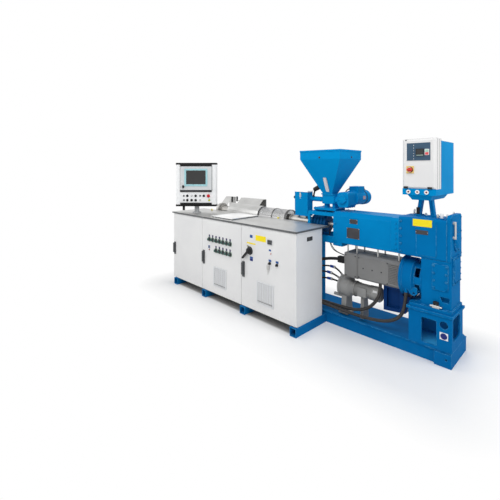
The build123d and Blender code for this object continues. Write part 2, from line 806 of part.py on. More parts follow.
# Bevel gearbox of the feeder drive: rounded casting with cooling ribs and a round cover
with BuildPart() as feeder_gearbox:
    with BuildSketch(Plane.XZ.offset(-dose_front)):
        with Locations((dose_x, dose_z - 8)):
            RectangleRounded(2 * dose_half, 164, 34)
    extrude(amount=dose_front - dose_rear)
    with BuildSketch(Plane.XZ.offset(-dose_front)):
        with Locations((dose_x, dose_z)):
            Circle(52)
    extrude(amount=22, taper=12)
    with BuildSketch(Plane.XY.offset(dose_z - 96)):
        for rib in range(4):
            with Locations((dose_x, dose_front + 20 + 45 * rib)):
                Rectangle(2 * dose_half - 14, 12)
    extrude(amount=50)
feeder_gearbox.part.label = "feeder_gearbox"
export_step(feeder_gearbox.part, "parts/feeder_gearbox.step")

# Feeder motor along +Y: flange, body, band and dished fan cover, with its terminal box
with BuildPart() as feeder_motor:
    fan_start = dose_motor_end - 100
    with BuildSketch(Plane(origin=(dose_x, 0, dose_z), x_dir=(0, 1, 0), z_dir=(1, 0, 0))) as motor_outline:
        with BuildLine():
            Polyline((dose_rear, 0), (dose_rear, dose_motor_r + 8), (dose_rear + 15, dose_motor_r + 8),
                     (dose_rear + 15, dose_motor_r - 6), (dose_rear + 43, dose_motor_r),
                     (fan_start - 3, dose_motor_r), (fan_start, dose_motor_r + 7),
                     (dose_motor_end, dose_motor_r + 7), (dose_motor_end, 0), close=True)
        make_face()
        fan_corner = motor_outline.vertices().sort_by_distance((dose_motor_end, dose_motor_r + 7))[0]
        fillet(fan_corner, radius=fan_round)
    revolve(axis=Axis((dose_x, 0, dose_z), (0, 1, 0)))
    with BuildSketch(Plane.XY.offset(dose_z + 30)):
        with Locations((dose_x, dose_rear + 135)):
            RectangleRounded(112, 156, 14)
    extrude(amount=98)
feeder_motor.part.label = "feeder_motor"
export_step(feeder_motor.part, "parts/feeder_motor.step")

# Barrel with its die flange: centre bore and a circle of bolt holes
with BuildPart() as barrel:
    with BuildSketch(Plane.YZ.offset(barrel_left)):
        with Locations((0, screw_z)):
            Circle(barrel_r)
    extrude(amount=feed_start - barrel_left)
    with BuildSketch(Plane.YZ.offset(barrel_left)):
        with Locations((0, screw_z)):
            Circle(die_flange_r)
    extrude(amount=die_flange_thickness)
    with BuildSketch(Plane.YZ.offset(barrel_left)):
        with Locations((0, screw_z)):
            Circle(die_bore_r)
    extrude(amount=die_bore_depth, mode=Mode.SUBTRACT)
    with BuildSketch(Plane.YZ.offset(barrel_left)):
        with Locations((0, screw_z)):
            with PolarLocations(die_bolt_pcd / 2, die_bolt_count):
                Circle(die_bolt_r)
    extrude(amount=die_flange_thickness, mode=Mode.SUBTRACT)
    with BuildSketch(Plane.XY.offset(screw_z)):
        with Locations((inlet_x, 0)):
            Rectangle(inlet_boss, inlet_boss)
    extrude(amount=inlet_bottom - screw_z)
barrel.part.label = "barrel"
export_step(barrel.part, "parts/barrel.step")

# Heater guards: two half-round sheet covers with outward flanges and raised bands
with BuildPart() as heater_guards:
    guard_split = (guard_left + guard_right) / 2
    guard_spans = [(guard_left, guard_split - 1), (guard_split + 1, guard_right)]
    for start, end in guard_spans:
        with BuildSketch(Plane.YZ.offset(start)):
            with Locations((0, screw_z)):
                Circle(guard_r)
                Circle(guard_r - guard_sheet, mode=Mode.SUBTRACT)
            with Locations((0, table_z - guard_r)):
                Rectangle(3 * guard_r, 2 * guard_r, mode=Mode.SUBTRACT)
            for side in (-1, 1):
                with Locations((side * (guard_r + guard_flange / 2 - 1), table_z + guard_sheet / 2)):
                    Rectangle(guard_flange, guard_sheet)
        extrude(amount=end - start)
heater_guards.part.label = "heater_guards"
export_step(heater_guards.part, "parts/heater_guards.step")

# Dark straps round the guards, one at each end and one over the joint
with BuildPart() as guard_bands:
    for band_x, band_width in ((guard_left, 16), (guard_split - 8, 16), (guard_right - 34, 34)):
        with BuildSketch(Plane.YZ.offset(band_x)):
            with Locations((0, screw_z)):
                Circle(guard_r + guard_sheet + strap_lift)
                Circle(guard_r + seat_gap, mode=Mode.SUBTRACT)
            with Locations((0, table_z + guard_sheet - guard_r)):
                Rectangle(3 * guard_r, 2 * guard_r, mode=Mode.SUBTRACT)
        extrude(amount=band_width)
guard_bands.part.label = "guard_bands"
export_step(guard_bands.part, "parts/guard_bands.step")

# Plain half-round barrel cover that runs on towards the die
with BuildPart() as barrel_cover:
    with BuildSketch(Plane.YZ.offset(cover_left)):
        with Locations((0, screw_z)):
            Circle(guard_r + 12)
            Circle(guard_r + 12 - guard_sheet, mode=Mode.SUBTRACT)
        with Locations((0, table_z - guard_r - 20)):
            Rectangle(2 * guard_r + 40, 2 * guard_r + 40, mode=Mode.SUBTRACT)
    extrude(amount=guard_left - 4 - cover_left)
barrel_cover.part.label = "barrel_cover"
export_step(barrel_cover.part, "parts/barrel_cover.step")

# Main motor: square housing with a ribbed end, and its terminal end box
with BuildPart() as main_motor:
    motor_mid_z = (motor_bottom + motor_top) / 2
    motor_body_left = motor_left + terminal_length
    with BuildSketch(Plane.YZ.offset(motor_body_left)) as motor_section:
        with Locations((0, motor_mid_z)):
            Rectangle(2 * motor_half, motor_top - motor_bottom)
        chamfer(motor_section.vertices(), length=22)
    extrude(amount=motor_right - motor_body_left)
    for side in (-1, 1):
        with BuildSketch(Plane.XZ.offset(-side * (motor_half + 10))):
            with Locations((motor_right - 62, motor_mid_z)):
                with GridLocations(0, 16, 1, 12):
                    Rectangle(96, 7)
        extrude(amount=side * 18, mode=Mode.SUBTRACT)
main_motor.part.label = "main_motor"
export_step(main_motor.part, "parts/main_motor.step")

# Terminal box at the motor's end, with its socket and the plug of the power lead
with BuildPart() as terminal_box:
    terminal_top = motor_top - 3
    with BuildSketch(Plane.YZ.offset(motor_left)):
        with Locations((0, (terminal_top + motor_bottom - 1) / 2)):
            RectangleRounded(2 * motor_half + 10, terminal_top - motor_bottom + 1, 12)
    extrude(amount=terminal_length)
    with BuildSketch(Plane.YZ.offset(motor_left)):
        with Locations((plug_y, plug_z + 24)):
            RectangleRounded(76, 92, 6)
    extrude(amount=-22)
    with BuildSketch(Plane.YZ.offset(motor_left - 22)):
        with Locations((plug_y, plug_z)):
            RectangleRounded(56, 66, 10)
    extrude(amount=plug_left - motor_left + 22)
terminal_box.part.label = "terminal_box"
export_step(terminal_box.part, "parts/terminal_box.step")

# Threaded studs that hang the motor from the long housing
with BuildPart() as motor_studs:
    for side in (-1, 1):
        for stud_x in stud_xs:
            stud_foot = motor_top if stud_x > motor_body_left else terminal_top
            with BuildSketch(Plane.XY.offset(stud_foot)):
                with Locations((stud_x, side * stud_y)):
                    Circle(stud_r)
            extrude(amount=housing_bottom - hanger_pad - stud_foot)
motor_studs.part.label = "motor_studs"
export_step(motor_studs.part, "parts/motor_studs.step")

# Coupling bell: turned drum with a flange, a ribbed neck with windows and a lifting lug
with BuildPart() as coupling_bell:
    with BuildSketch(side_plane(0, drive_z)):
        with BuildLine():
            Polyline((bell_left, bell_bore_r), (bell_left, bell_flange_r), (bell_left + 22, bell_flange_r),
                     (bell_left + 30, bell_r), (bell_left + 112, bell_r), (bell_left + 128, bell_neck_r),
                     (gear_left, bell_neck_r), (gear_left, bell_bore_r), close=True)
        make_face()
    revolve(axis=Axis((0, 0, drive_z), (1, 0, 0)))
    with BuildSketch(Plane.YZ.offset(gear_left - 60)):
        with Locations((0, drive_z)):
            with PolarLocations(bell_neck_r, 6, start_angle=30):
                Rectangle(120, 86)
    extrude(amount=44, mode=Mode.SUBTRACT)
    with BuildSketch(Plane.XZ.offset(132)):
        with BuildLine():
            Polyline((900, 600), (986, 600), (986, 545), (958, 520), (930, 528), (900, 570), close=True)
        make_face()
        with Locations((955, 546)):
            Circle(10, mode=Mode.SUBTRACT)
    extrude(amount=14)
    with BuildSketch(Plane.XY.offset(536)):
        with Locations((884, -140)):
            Circle(lead_boss_r)
    extrude(amount=64)
    with BuildSketch(side_plane(0, drive_z)):
        with BuildLine():
            Polyline((bell_left, 0), (bell_left, bell_bore_r), (gear_left, bell_bore_r), (gear_left, 0), close=True)
        make_face()
    revolve(axis=Axis((0, 0, drive_z), (1, 0, 0)), mode=Mode.SUBTRACT)
coupling_bell.part.label = "coupling_bell"
export_step(coupling_bell.part, "parts/coupling_bell.step")

# Folded bracket under the motor and bell
with BuildPart() as motor_bracket:
    with BuildSketch(Plane.XZ.offset(-90)):
        with BuildLine():
            Polyline((bracket_left, motor_bottom), (motor_right, motor_bottom), (motor_right, bracket_step),
                     (bracket_right, bracket_step), (bracket_right, bracket_step - 60),
                     (bracket_right - 50, bracket_bottom + 18), (bracket_left, bracket_bottom), close=True)
        make_face()
    extrude(amount=160)
    with BuildSketch(Plane.XZ.offset(70)):
        with BuildLine():
            Polyline((bracket_left + 32, motor_bottom - 30), (motor_right - 26, motor_bottom - 30),
                     (motor_right - 26, bracket_bottom + 48), (bracket_left + 32, bracket_bottom + 36), close=True)
        make_face()
    extrude(amount=-40, mode=Mode.SUBTRACT)
motor_bracket.part.label = "motor_bracket"
export_step(motor_bracket.part, "parts/motor_bracket.step")

# Vacuum pump: turned casing with end plates, ports, a stand and its side fitting
with BuildPart() as vacuum_pump:
    with BuildSketch(side_plane(pump_y, pump_z)):
        with BuildLine():
            Polyline((pump_left, 0), (pump_left, pump_r + 8), (pump_left + 16, pump_r + 8),
                     (pump_left + 22, pump_r - 6), (pump_left + 48, pump_r), (pump_right - 52, pump_r),
                     (pump_right - 22, pump_r - 30), (pump_right, pump_r - 34), (pump_right, 0), close=True)
        make_face()
    revolve(axis=Axis((0, pump_y, pump_z), (1, 0, 0)))
    for port_y, port_height, port_tilt in pump_ports:
        with BuildSketch(tilted_plane(pump_left + 6, port_y, port_height, port_tilt)):
            Circle(pump_port_r)
        extrude(amount=pump_port_length)
    with BuildSketch(Plane.XY.offset(deck_z)):
        with Locations((pump_left + 60, pump_y)):
            Rectangle(110, 170)
    extrude(amount=14)
    with BuildSketch(Plane.YZ.offset(pump_left + 30)):
        with BuildLine():
            Polyline((pump_y - 75, deck_z + 14), (pump_y + 75, deck_z + 14), (pump_y + 55, pump_z - 60),
                     (pump_y - 55, pump_z - 60), close=True)
        make_face()
    extrude(amount=56)
    with BuildSketch(Plane.YZ.offset(pump_left - 70)):
        with Locations((pump_y - 40, pump_z - 100)):
            Circle(17)
    extrude(amount=110)
vacuum_pump.part.label = "vacuum_pump"
export_step(vacuum_pump.part, "parts/vacuum_pump.step")

# Pump motor with cooling rings, fan cover, foot and terminal box
with BuildPart() as pump_motor:
    with BuildSketch(side_plane(pump_y, pump_z)):
        with BuildLine():
            Polyline((pump_right, 0), (pump_right, pump_motor_r + 12), (pump_right + 14, pump_motor_r + 12),
                     (pump_right + 14, pump_motor_r), (pump_motor_right - 74, pump_motor_r),
                     (pump_motor_right - 74, pump_motor_r + 6), (pump_motor_right - 12, pump_motor_r + 6),
                     (pump_motor_right, pump_motor_r - 6), (pump_motor_right, 0), close=True)
        make_face()
    revolve(axis=Axis((0, pump_y, pump_z), (1, 0, 0)))
    with BuildSketch(Plane.XZ.offset(60)):
        with Locations((427, pump_z)):
            RectangleRounded(100, 96, 8)
    extrude(amount=55)
    with BuildSketch(Plane.YZ.offset(400)):
        with BuildLine():
            Polyline((pump_y - 60, deck_z), (pump_y + 60, deck_z), (pump_y + 40, pump_z - 40),
                     (pump_y - 40, pump_z - 40), close=True)
        make_face()
    extrude(amount=36)
pump_motor.part.label = "pump_motor"
export_step(pump_motor.part, "parts/pump_motor.step")

# Cabinet carcass: floor, back with its lead glands, ends and partitions
carcass_depth = cabinet_rear - carcass_front
carcass_y = (cabinet_rear + carcass_front) / 2
carcass_x = (cabinet_left + cabinet_right) / 2

with BuildPart() as cabinet_floor:
    with BuildSketch(Plane.XY.offset(cabinet_bottom)):
        with Locations((carcass_x, carcass_y)):
            Rectangle(cabinet_length, carcass_depth)
    extrude(amount=sheet)
cabinet_floor.part.label = "cabinet_floor"
export_step(cabinet_floor.part, "parts/cabinet_floor.step")

wall_bottom = cabinet_bottom + sheet
with BuildPart() as cabinet_back:
    with BuildSketch(Plane.XY.offset(wall_bottom)):
        with Locations((carcass_x, cabinet_rear - sheet / 2)):
            Rectangle(cabinet_length - 2 * sheet, sheet)
    extrude(amount=cabinet_top - wall_bottom)
    for diameter, points in cord_routes.values():
        heading = (Vector(points[1]) - Vector(points[0])).normalized()
        reach = points[0][1] - cabinet_rear
        if reach < 2 * sheet:
            with BuildSketch(Plane(origin=Vector(points[0]) - heading * seat_gap, z_dir=-heading)):
                Circle(diameter / 2 + gland_wall)
            extrude(amount=reach / heading.Y)
cabinet_back.part.label = "cabinet_back"
export_step(cabinet_back.part, "parts/cabinet_back.step")

# Doors from left to right, each hinged at its right edge
door_bottom = cabinet_bottom + 8
door_top = cabinet_top - 6
door_spans = {}
door_right = cabinet_right
for name, width in reversed(list(zip(door_names, door_widths))):
    door_spans[name] = (door_right - width + door_gap, door_right)
    door_right = door_right - width

# End walls and partitions
with BuildPart() as cabinet_walls:
    with BuildSketch(Plane.XY.offset(wall_bottom)):
        for end_x in (cabinet_left + sheet / 2, cabinet_right - sheet / 2):
            with Locations((end_x, carcass_y)):
                Rectangle(sheet, carcass_depth)
        for name in door_names[:2]:
            with Locations((door_spans[name][1], carcass_y - sheet / 2)):
                Rectangle(sheet, carcass_depth - sheet)
    extrude(amount=cabinet_top - wall_bottom)
    with BuildSketch(Plane.YZ.offset(cabinet_right - 8)):
        with Locations((louvre_y, louvre_z)):
            RectangleRounded(louvre_size[0], louvre_size[1], 4)
    extrude(amount=8, mode=Mode.SUBTRACT)
cabinet_walls.part.label = "cabinet_walls"
export_step(cabinet_walls.part, "parts/cabinet_walls.step")

for name, span in door_spans.items():
    with BuildPart() as door:
        with BuildSketch(Plane.XY.offset(door_bottom)) as door_section:
            with Locations(((span[0] + span[1]) / 2, cabinet_front + door_thickness / 2)):
                Rectangle(span[1] - span[0], door_thickness)
            fillet(door_section.vertices().group_by(Axis.Y)[0], radius=4)
        extrude(amount=door_top - door_bottom)
    door.part.label = f"door_{name}"
    export_step(door.part, f"parts/door_{name}.step")

# Fittings on the doors: a swing handle on each, the filter grilles and the selector knobs
slat_pitch = (grille_size - 2 * grille_frame) / slat_count
for name, span in door_spans.items():
    with BuildPart() as fittings:
        with BuildSketch(side_plane(cabinet_front, handle_z)):
            with Locations((span[0] + handle_inset, 0)):
                RectangleRounded(handle_width + 12, handle_height, 8)
        extrude(amount=7)
        with BuildSketch(side_plane(cabinet_front - 7, handle_z)):
            with Locations((span[0] + handle_inset, 10)):
                RectangleRounded(handle_width - 4, handle_height - 36, 8)
        extrude(amount=handle_depth - 7, taper=6)
        if name in grille_xs:
            with BuildSketch(side_plane(cabinet_front, grille_z)):
                with Locations((grille_xs[name], 0)):
                    RectangleRounded(grille_size, grille_size, 6)
                    Rectangle(grille_size - 2 * grille_frame, grille_size - 2 * grille_frame, mode=Mode.SUBTRACT)
            extrude(amount=grille_depth)
            with BuildSketch(Plane.YZ.offset(grille_xs[name] - grille_size / 2 + 12)):
                for slat in range(slat_count):
                    slat_z = grille_z - grille_size / 2 + grille_frame + slat_lift + slat * slat_pitch
                    with BuildLine():
                        Polyline((cabinet_front, slat_z + slat_pitch - 3),
                                 (cabinet_front - grille_depth + 2, slat_z + 3),
                                 (cabinet_front - grille_depth + 2, slat_z), (cabinet_front, slat_z + 3),
                                 close=True)
                    make_face()
            extrude(amount=grille_size - 24)
        if name == "middle":
            for row_z, count in ((upper_knob_z, upper_knob_count), (lower_knob_z, lower_knob_count)):
                for index in range(count):
                    knob_x = knob_right - index * knob_pitch
                    with BuildSketch(side_plane(cabinet_front, row_z)):
                        with Locations((knob_x, 0)):
                            Circle(knob_r)
                    extrude(amount=8)
                    with BuildSketch(side_plane(cabinet_front - 8, row_z)):
                        with Locations((knob_x, 0)):
                            SlotOverall(2 * knob_r - 6, 14, rotation=60)
                    extrude(amount=knob_depth - 8)
        if name == "right":
            with BuildSketch(side_plane(cabinet_front, switch_z)):
                with Locations((switch_x, 0)):
                    Circle(switch_r)
            extrude(amount=switch_base)
    fittings.part.label = f"fittings_{name}"
    export_step(fittings.part, f"parts/fittings_{name}.step")

# Turning lever of the main switch
with BuildPart() as switch_lever:
    with BuildSketch(side_plane(cabinet_front - switch_base - 0.5, switch_z)):
        with Locations((switch_x, 0)):
            Circle(switch_r - 7)
    extrude(amount=16)
    with BuildSketch(side_plane(cabinet_front - switch_base - 6, switch_z)):
        with Locations(Location((switch_x, 0), 225)):
            with Locations((lever_length / 2 - 10, 0)):
                SlotOverall(lever_length, 24)
    extrude(amount=16)
switch_lever.part.label = "switch_lever"
export_step(switch_lever.part, "parts/switch_lever.step")

# Stainless table top over the cabinet, rounded at its free corners
with BuildPart() as table_top:
    with BuildSketch(Plane.XY.offset(cabinet_top)) as table_outline:
        table_front = cabinet_front - top_overhang
        with Locations((carcass_x, (table_front - table_edge) / 2)):
            Rectangle(cabinet_length + 2 * top_overhang, -table_edge - table_front)
        fillet(table_outline.vertices().group_by(Axis.Y)[0], radius=top_corner_r)
        with Locations((table_notch_x, 0)):
            Rectangle(cabinet_right + 2 * top_overhang - table_notch_x, -table_notch_y,
                      align=(Align.MIN, Align.MAX), mode=Mode.SUBTRACT)
    extrude(amount=top_thickness)
table_top.part.label = "table_top"
export_step(table_top.part, "parts/table_top.step")

# Loose bright cover plate on the table
with BuildPart() as cover_plate:
    with BuildSketch(Plane.XY.offset(table_z)) as plate_outline:
        with Locations((cover_plate_x, cover_plate_y)):
            Rectangle(cover_plate_size[0], cover_plate_size[1])
        fillet(plate_outline.vertices(), radius=6)
    extrude(amount=cover_plate_thickness)
cover_plate.part.label = "cover_plate"
export_step(cover_plate.part, "parts/cover_plate.step")

# Rear strip of the table plane, on posts from the base
with BuildPart() as rear_deck:
    with BuildSketch(Plane.XY.offset(table_z - deck_sheet)):
        with Locations(((cabinet_left + guard_right) / 2, (table_edge + deck_rear) / 2)):
            Rectangle(guard_right - cabinet_left, deck_rear - table_edge)
    extrude(amount=deck_sheet)
    for post_x in deck_post_xs:
        with BuildSketch(Plane.XY.offset(deck_z)):
            with Locations((post_x, base_rear - deck_post / 2)):
                Rectangle(deck_post, deck_post)
        extrude(amount=table_z - deck_sheet - deck_z)
rear_deck.part.label = "rear_deck"
export_step(rear_deck.part, "parts/rear_deck.step")

# Rear stainless guard: two folded hoods with chamfered fronts that stand on the rear strip
with BuildPart() as rear_guard:
    guard_sections = [(rear_guard_left, rear_guard_break), (rear_guard_break + rear_guard_gap, rear_guard_right)]
    fold = rear_guard_chamfer + 30
    for start, end in guard_sections:
        with BuildSketch(Plane.YZ.offset(start)):
            with BuildLine():
                Polyline((rear_guard_front, table_z), (rear_guard_rear, table_z),
                         (rear_guard_rear, rear_guard_top), (rear_guard_front + fold, rear_guard_top),
                         (rear_guard_front, rear_guard_top - fold), close=True)
            make_face()
            with BuildLine():
                Polyline((rear_guard_front + rear_guard_sheet, table_z),
                         (rear_guard_rear - rear_guard_sheet, table_z),
                         (rear_guard_rear - rear_guard_sheet, rear_guard_top - rear_guard_sheet),
                         (rear_guard_front + fold + 1, rear_guard_top - rear_guard_sheet),
                         (rear_guard_front + rear_guard_sheet, rear_guard_top - fold - 1), close=True)
            make_face(mode=Mode.SUBTRACT)
        extrude(amount=end - start)
rear_guard.part.label = "rear_guard"
export_step(rear_guard.part, "parts/rear_guard.step")

# Console post on the table
with BuildPart() as console_post:
    with BuildSketch(Plane.XY.offset(table_z)):
        with Locations((console_x, console_y)):
            Circle(62)
    extrude(amount=12)
    with BuildSketch(Plane.XY.offset(table_z + 12)):
        with Locations((console_x, console_y)):
            Circle(post_r)
    extrude(amount=console_bottom - seat_gap - table_z - 12)
console_post.part.label = "console_post"
export_step(console_post.part, "parts/console_post.step")


def console_plane(depth, height):
    """Plane parallel to the console's face, depth in front of the post's axis: local x across, local y up."""
    turned = Vector(1, 0, 0).rotate(Axis.Z, console_turn)
    facing = Vector(0, -1, 0).rotate(Axis.Z, console_turn)
    return Plane(origin=(console_x, console_y, height), x_dir=turned, z_dir=facing).offset(depth)


case_low = console_bottom + console_bar
case_high = console_top - console_bar - console_hood
face_depth = console_depth / 2

# Console case with its rounded side profiles
with BuildPart() as console_case:
    with BuildSketch(console_plane(-face_depth, 0)):
        with Locations((0, (case_low + case_high) / 2)):
            Rectangle(console_width, case_high - case_low)
    extrude(amount=console_depth)
    with BuildSketch(console_plane(-face_depth, 0)):
        for side in (-1, 1):
            with Locations((side * (console_width + console_wing) / 2, (case_low + case_high + console_hood) / 2)):
                Rectangle(console_wing, case_high + console_hood - case_low)
    extrude(amount=console_depth)
    outer_edges = console_case.edges().filter_by(Axis.Z).sort_by_distance((console_x, console_y, screen_z))[-4:]
    fillet(outer_edges, radius=24)
console_case.part.label = "console_case"
export_step(console_case.part, "parts/console_case.step")

# Dark bars: head bar with its hood, foot bar with the swivel seat, and the bands across the face
with BuildPart() as console_bars:
    with BuildSketch(console_plane(-face_depth, 0)):
        with Locations((0, console_top - console_bar / 2), (0, console_bottom + console_bar / 2)):
            Rectangle(console_width + 2 * console_wing, console_bar)
    extrude(amount=console_depth)
    with BuildSketch(console_plane(-face_depth, 0)):
        with Locations((0, console_top - console_bar - console_hood / 2)):
            Rectangle(console_width, console_hood)
    extrude(amount=console_depth + display_frame)
    with BuildSketch(console_plane(face_depth, 0)):
        with Locations((0, display_bottom - console_bar / 2), (0, case_low + console_bar / 2)):
            Rectangle(console_width, console_bar)
    extrude(amount=display_frame)
    with BuildSketch(console_plane(face_depth - 40, console_bottom)):
        with Locations((-182, 0)):
            Rectangle(30, 58, align=(Align.CENTER, Align.MAX))
    extrude(amount=24)
console_bars.part.label = "console_bars"
export_step(console_bars.part, "parts/console_bars.step")

# Display frame, screen and push buttons on the console's face
with BuildPart() as console_panels:
    with BuildSketch(console_plane(face_depth, 0)):
        with Locations((0, (display_bottom + case_high) / 2)):
            Rectangle(console_width, case_high - display_bottom)
    extrude(amount=display_frame)
    with BuildSketch(console_plane(face_depth + display_frame, bezel_z)):
        RectangleRounded(bezel_size[0], bezel_size[1], 6)
    extrude(amount=4)
    with BuildSketch(console_plane(face_depth + display_frame + 4, screen_z)):
        Rectangle(screen_size[0], screen_size[1])
    extrude(amount=-3, mode=Mode.SUBTRACT)
    for row_z, row_xs in button_rows:
        with BuildSketch(console_plane(face_depth, row_z)):
            for button_x in row_xs:
                with Locations((button_x, 0)):
                    Circle(button_r)
        extrude(amount=14)
    with BuildSketch(console_plane(face_depth, button_rows[0][0])):
        with Locations((stop_x, 0)):
            Circle(14)
    extrude(amount=18)
    with BuildSketch(console_plane(face_depth + 18, button_rows[0][0])):
        with Locations((stop_x, 0)):
            Circle(21)
    extrude(amount=14)
console_panels.part.label = "console_panels"
export_step(console_panels.part, "parts/console_panels.step")

# Stand of the drive control box: a dished tray on two splayed legs
with BuildPart() as control_stand:
    tray_x = (box_left + box_right) / 2
    tray_y = (box_front + box_rear) / 2
    with BuildSketch(Plane(origin=(tray_x, tray_y, box_bottom), x_dir=(1, 0, 0), z_dir=(0, 0, -1))):
        Rectangle(box_right - box_left - 2 * tray_inset, box_rear - box_front - 2 * tray_inset)
    extrude(amount=tray_height, taper=tray_taper)
    for foot_x, head_x in zip(leg_feet, leg_heads):
        with BuildSketch(Plane.XZ.offset(-leg_y - leg_depth / 2)):
            with BuildLine():
                Polyline((foot_x - leg_width / 2, upper_top), (foot_x + leg_width / 2, upper_top),
                         (head_x + leg_width / 2, tray_bottom), (head_x - leg_width / 2, tray_bottom), close=True)
            make_face()
        extrude(amount=leg_depth)
        with BuildSketch(Plane.XY.offset(upper_top)):
            with Locations((foot_x, leg_y)):
                Rectangle(leg_width + 34, leg_depth + 30)
        extrude(amount=10)
control_stand.part.label = "control_stand"
export_step(control_stand.part, "parts/control_stand.step")

# Drive control box: body in painted sheet, with the lamp strip along the bottom of its front
with BuildPart() as control_box:
    with BuildSketch(Plane.XY.offset(box_bottom)):
        with Locations((tray_x, (box_front + box_face + box_rear) / 2)):
            Rectangle(box_right - box_left, box_rear - box_front - box_face)
    extrude(amount=box_top - box_bottom - box_hood)
    with BuildSketch(side_plane(box_front + box_face, box_bottom)):
        with Locations((tray_x, box_strip / 2)):
            Rectangle(box_right - box_left, box_strip)
    extrude(amount=box_face - 8)
    with BuildSketch(side_plane(box_front + 8, box_bottom + box_strip / 2)):
        with Locations((tray_x + lamp_shift, 0)):
            with GridLocations(lamp_pitch, 0, 3, 1):
                Circle(15)
    extrude(amount=8)
control_box.part.label = "control_box"
export_step(control_box.part, "parts/control_box.step")

# Front panel of the control box, bevelled round its edge, with the display plate and the switch
with BuildPart() as control_panel:
    panel_height = box_top - box_bottom - box_strip
    front_z = box_bottom + box_strip + panel_height / 2
    with BuildSketch(side_plane(box_front + box_face, front_z)):
        with Locations((tray_x, 0)):
            Rectangle(box_right - box_left, panel_height)
    extrude(amount=box_face)
    bevelled = control_panel.faces().sort_by(Axis.Y)[0].edges()
    chamfer(bevelled, length=18)
    with BuildSketch(side_plane(box_front, box_top - display_plate_drop)):
        with Locations((tray_x + 1.5, 0)):
            RectangleRounded(display_plate_size[0], display_plate_size[1], 8)
    extrude(amount=5)
    with BuildSketch(side_plane(box_front, box_bottom + stop_rise)):
        with Locations((tray_x - 70, 0)):
            Rectangle(stop_plate, stop_plate)
    extrude(amount=6)
    with BuildSketch(side_plane(box_front - 6, box_bottom + stop_rise)):
        with Locations((tray_x - 70, 0)):
            Circle(20)
            Rectangle(14, 46)
    extrude(amount=16)
control_panel.part.label = "control_panel"
export_step(control_panel.part, "parts/control_panel.step")


def arc_radii(points, share=0.45):
    """Bend radius at each inner point: as large as its two runs allow."""
    radii = []
    for before, here, after in zip(points, points[1:], points[2:]):
        run_in = Vector(here) - Vector(before)
        run_out = Vector(after) - Vector(here)
        half_turn = radians(run_in.get_angle(run_out) / 2)
        radii.append(share * min(run_in.length, run_out.length) / tan(half_turn))
    return radii


# Leads: each a tube along straight runs with tangent arcs, from its gland to its fitting
for cord_name, (diameter, points) in cord_routes.items():
    radii = arc_radii(points)
    print(cord_name, "radii", [round(radius) for radius in radii], "diameter", diameter)
    with BuildPart() as cord:
        with BuildLine() as route:
            FilletPolyline(*points, radius=radii)
        with BuildSketch(Plane(origin=route.wires()[0] @ 0, z_dir=route.wires()[0] % 0)):
            Circle(diameter / 2)
        sweep()
    cord.part.label = cord_name
    export_step(cord.part, f"parts/{cord_name}.step")
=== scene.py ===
import math

import bmesh
import bpy
from mathutils import Matrix, Vector


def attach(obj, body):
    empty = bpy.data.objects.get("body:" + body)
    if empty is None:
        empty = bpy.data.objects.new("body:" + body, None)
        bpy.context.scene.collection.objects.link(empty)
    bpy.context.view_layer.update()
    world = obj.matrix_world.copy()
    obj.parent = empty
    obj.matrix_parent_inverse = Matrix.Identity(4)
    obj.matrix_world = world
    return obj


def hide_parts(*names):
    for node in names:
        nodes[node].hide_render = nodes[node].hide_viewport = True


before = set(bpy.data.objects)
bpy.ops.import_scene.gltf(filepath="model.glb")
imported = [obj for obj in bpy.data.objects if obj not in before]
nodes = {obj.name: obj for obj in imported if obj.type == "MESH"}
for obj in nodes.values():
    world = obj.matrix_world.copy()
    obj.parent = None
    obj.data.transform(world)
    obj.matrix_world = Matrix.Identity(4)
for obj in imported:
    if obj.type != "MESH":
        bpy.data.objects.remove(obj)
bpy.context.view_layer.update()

print("frame loaded")


# Camera, lamps, world and floor

cameraSettings = {"place": (2.12, -3.37, 1.68), "turn": (90, 0, 45.9), "lens": 24.12, "shiftY": -0.16}
lampSettings = {
    "key": {"place": (1.3, -3.4, 4.9), "aim": (-0.4, 0.0, 1.0), "size": 3.2, "power": 132},
    "fill": {"place": (-3.6, -3.2, 3.0), "aim": (-0.6, 0.0, 0.9), "size": 3.4, "power": 52},
    "side": {"place": (4.4, 0.4, 3.4), "aim": (0.6, 0.0, 1.2), "size": 2.6, "power": 72},
    "back": {"place": (-0.8, 3.8, 3.4), "aim": (-0.4, 0.0, 1.0), "size": 3.0, "power": 44},
}
worldLight = {"tone": (0.98, 0.985, 1.0), "strength": 0.42}
floorSettings = {"size": 60, "rough": 0.9, "tone": 0.88, "cooler": (0.985, 0.99, 1.0), "drift": 1.4,
                 "covered": ((-2.27, -0.70), (0.02, -0.25)), "softness": 0.035,
                 "shadowTone": (0.13, 0.125, 0.12), "darkening": 0.8,
                 "middle": (-0.50, -0.19), "half": (1.80, 0.52), "near": 0.02, "far": 0.5}
edgeLook = {"samples": 4, "low": 0.02, "high": 0.22}


def aimAt(place, target):
    return (Vector(target) - Vector(place)).to_track_quat("-Z", "Y").to_euler()


bpy.ops.object.camera_add(location=cameraSettings["place"],
                          rotation=[math.radians(a) for a in cameraSettings["turn"]])
camera = bpy.context.object
camera.name = "camera"
camera.data.lens = cameraSettings["lens"]
camera.data.sensor_width = 36
camera.data.shift_y = cameraSettings["shiftY"]
camera.data.clip_end = 100
bpy.context.scene.camera = camera
bpy.context.scene.view_settings.view_transform = "Standard"

for lampName, lamp in lampSettings.items():
    bpy.ops.object.light_add(type="AREA", location=lamp["place"], rotation=aimAt(lamp["place"], lamp["aim"]))
    light = bpy.context.object
    light.name = lampName + "Lamp"
    light.data.shape = "DISK"
    light.data.size = lamp["size"]
    light.data.energy = lamp["power"]


# Shader helpers

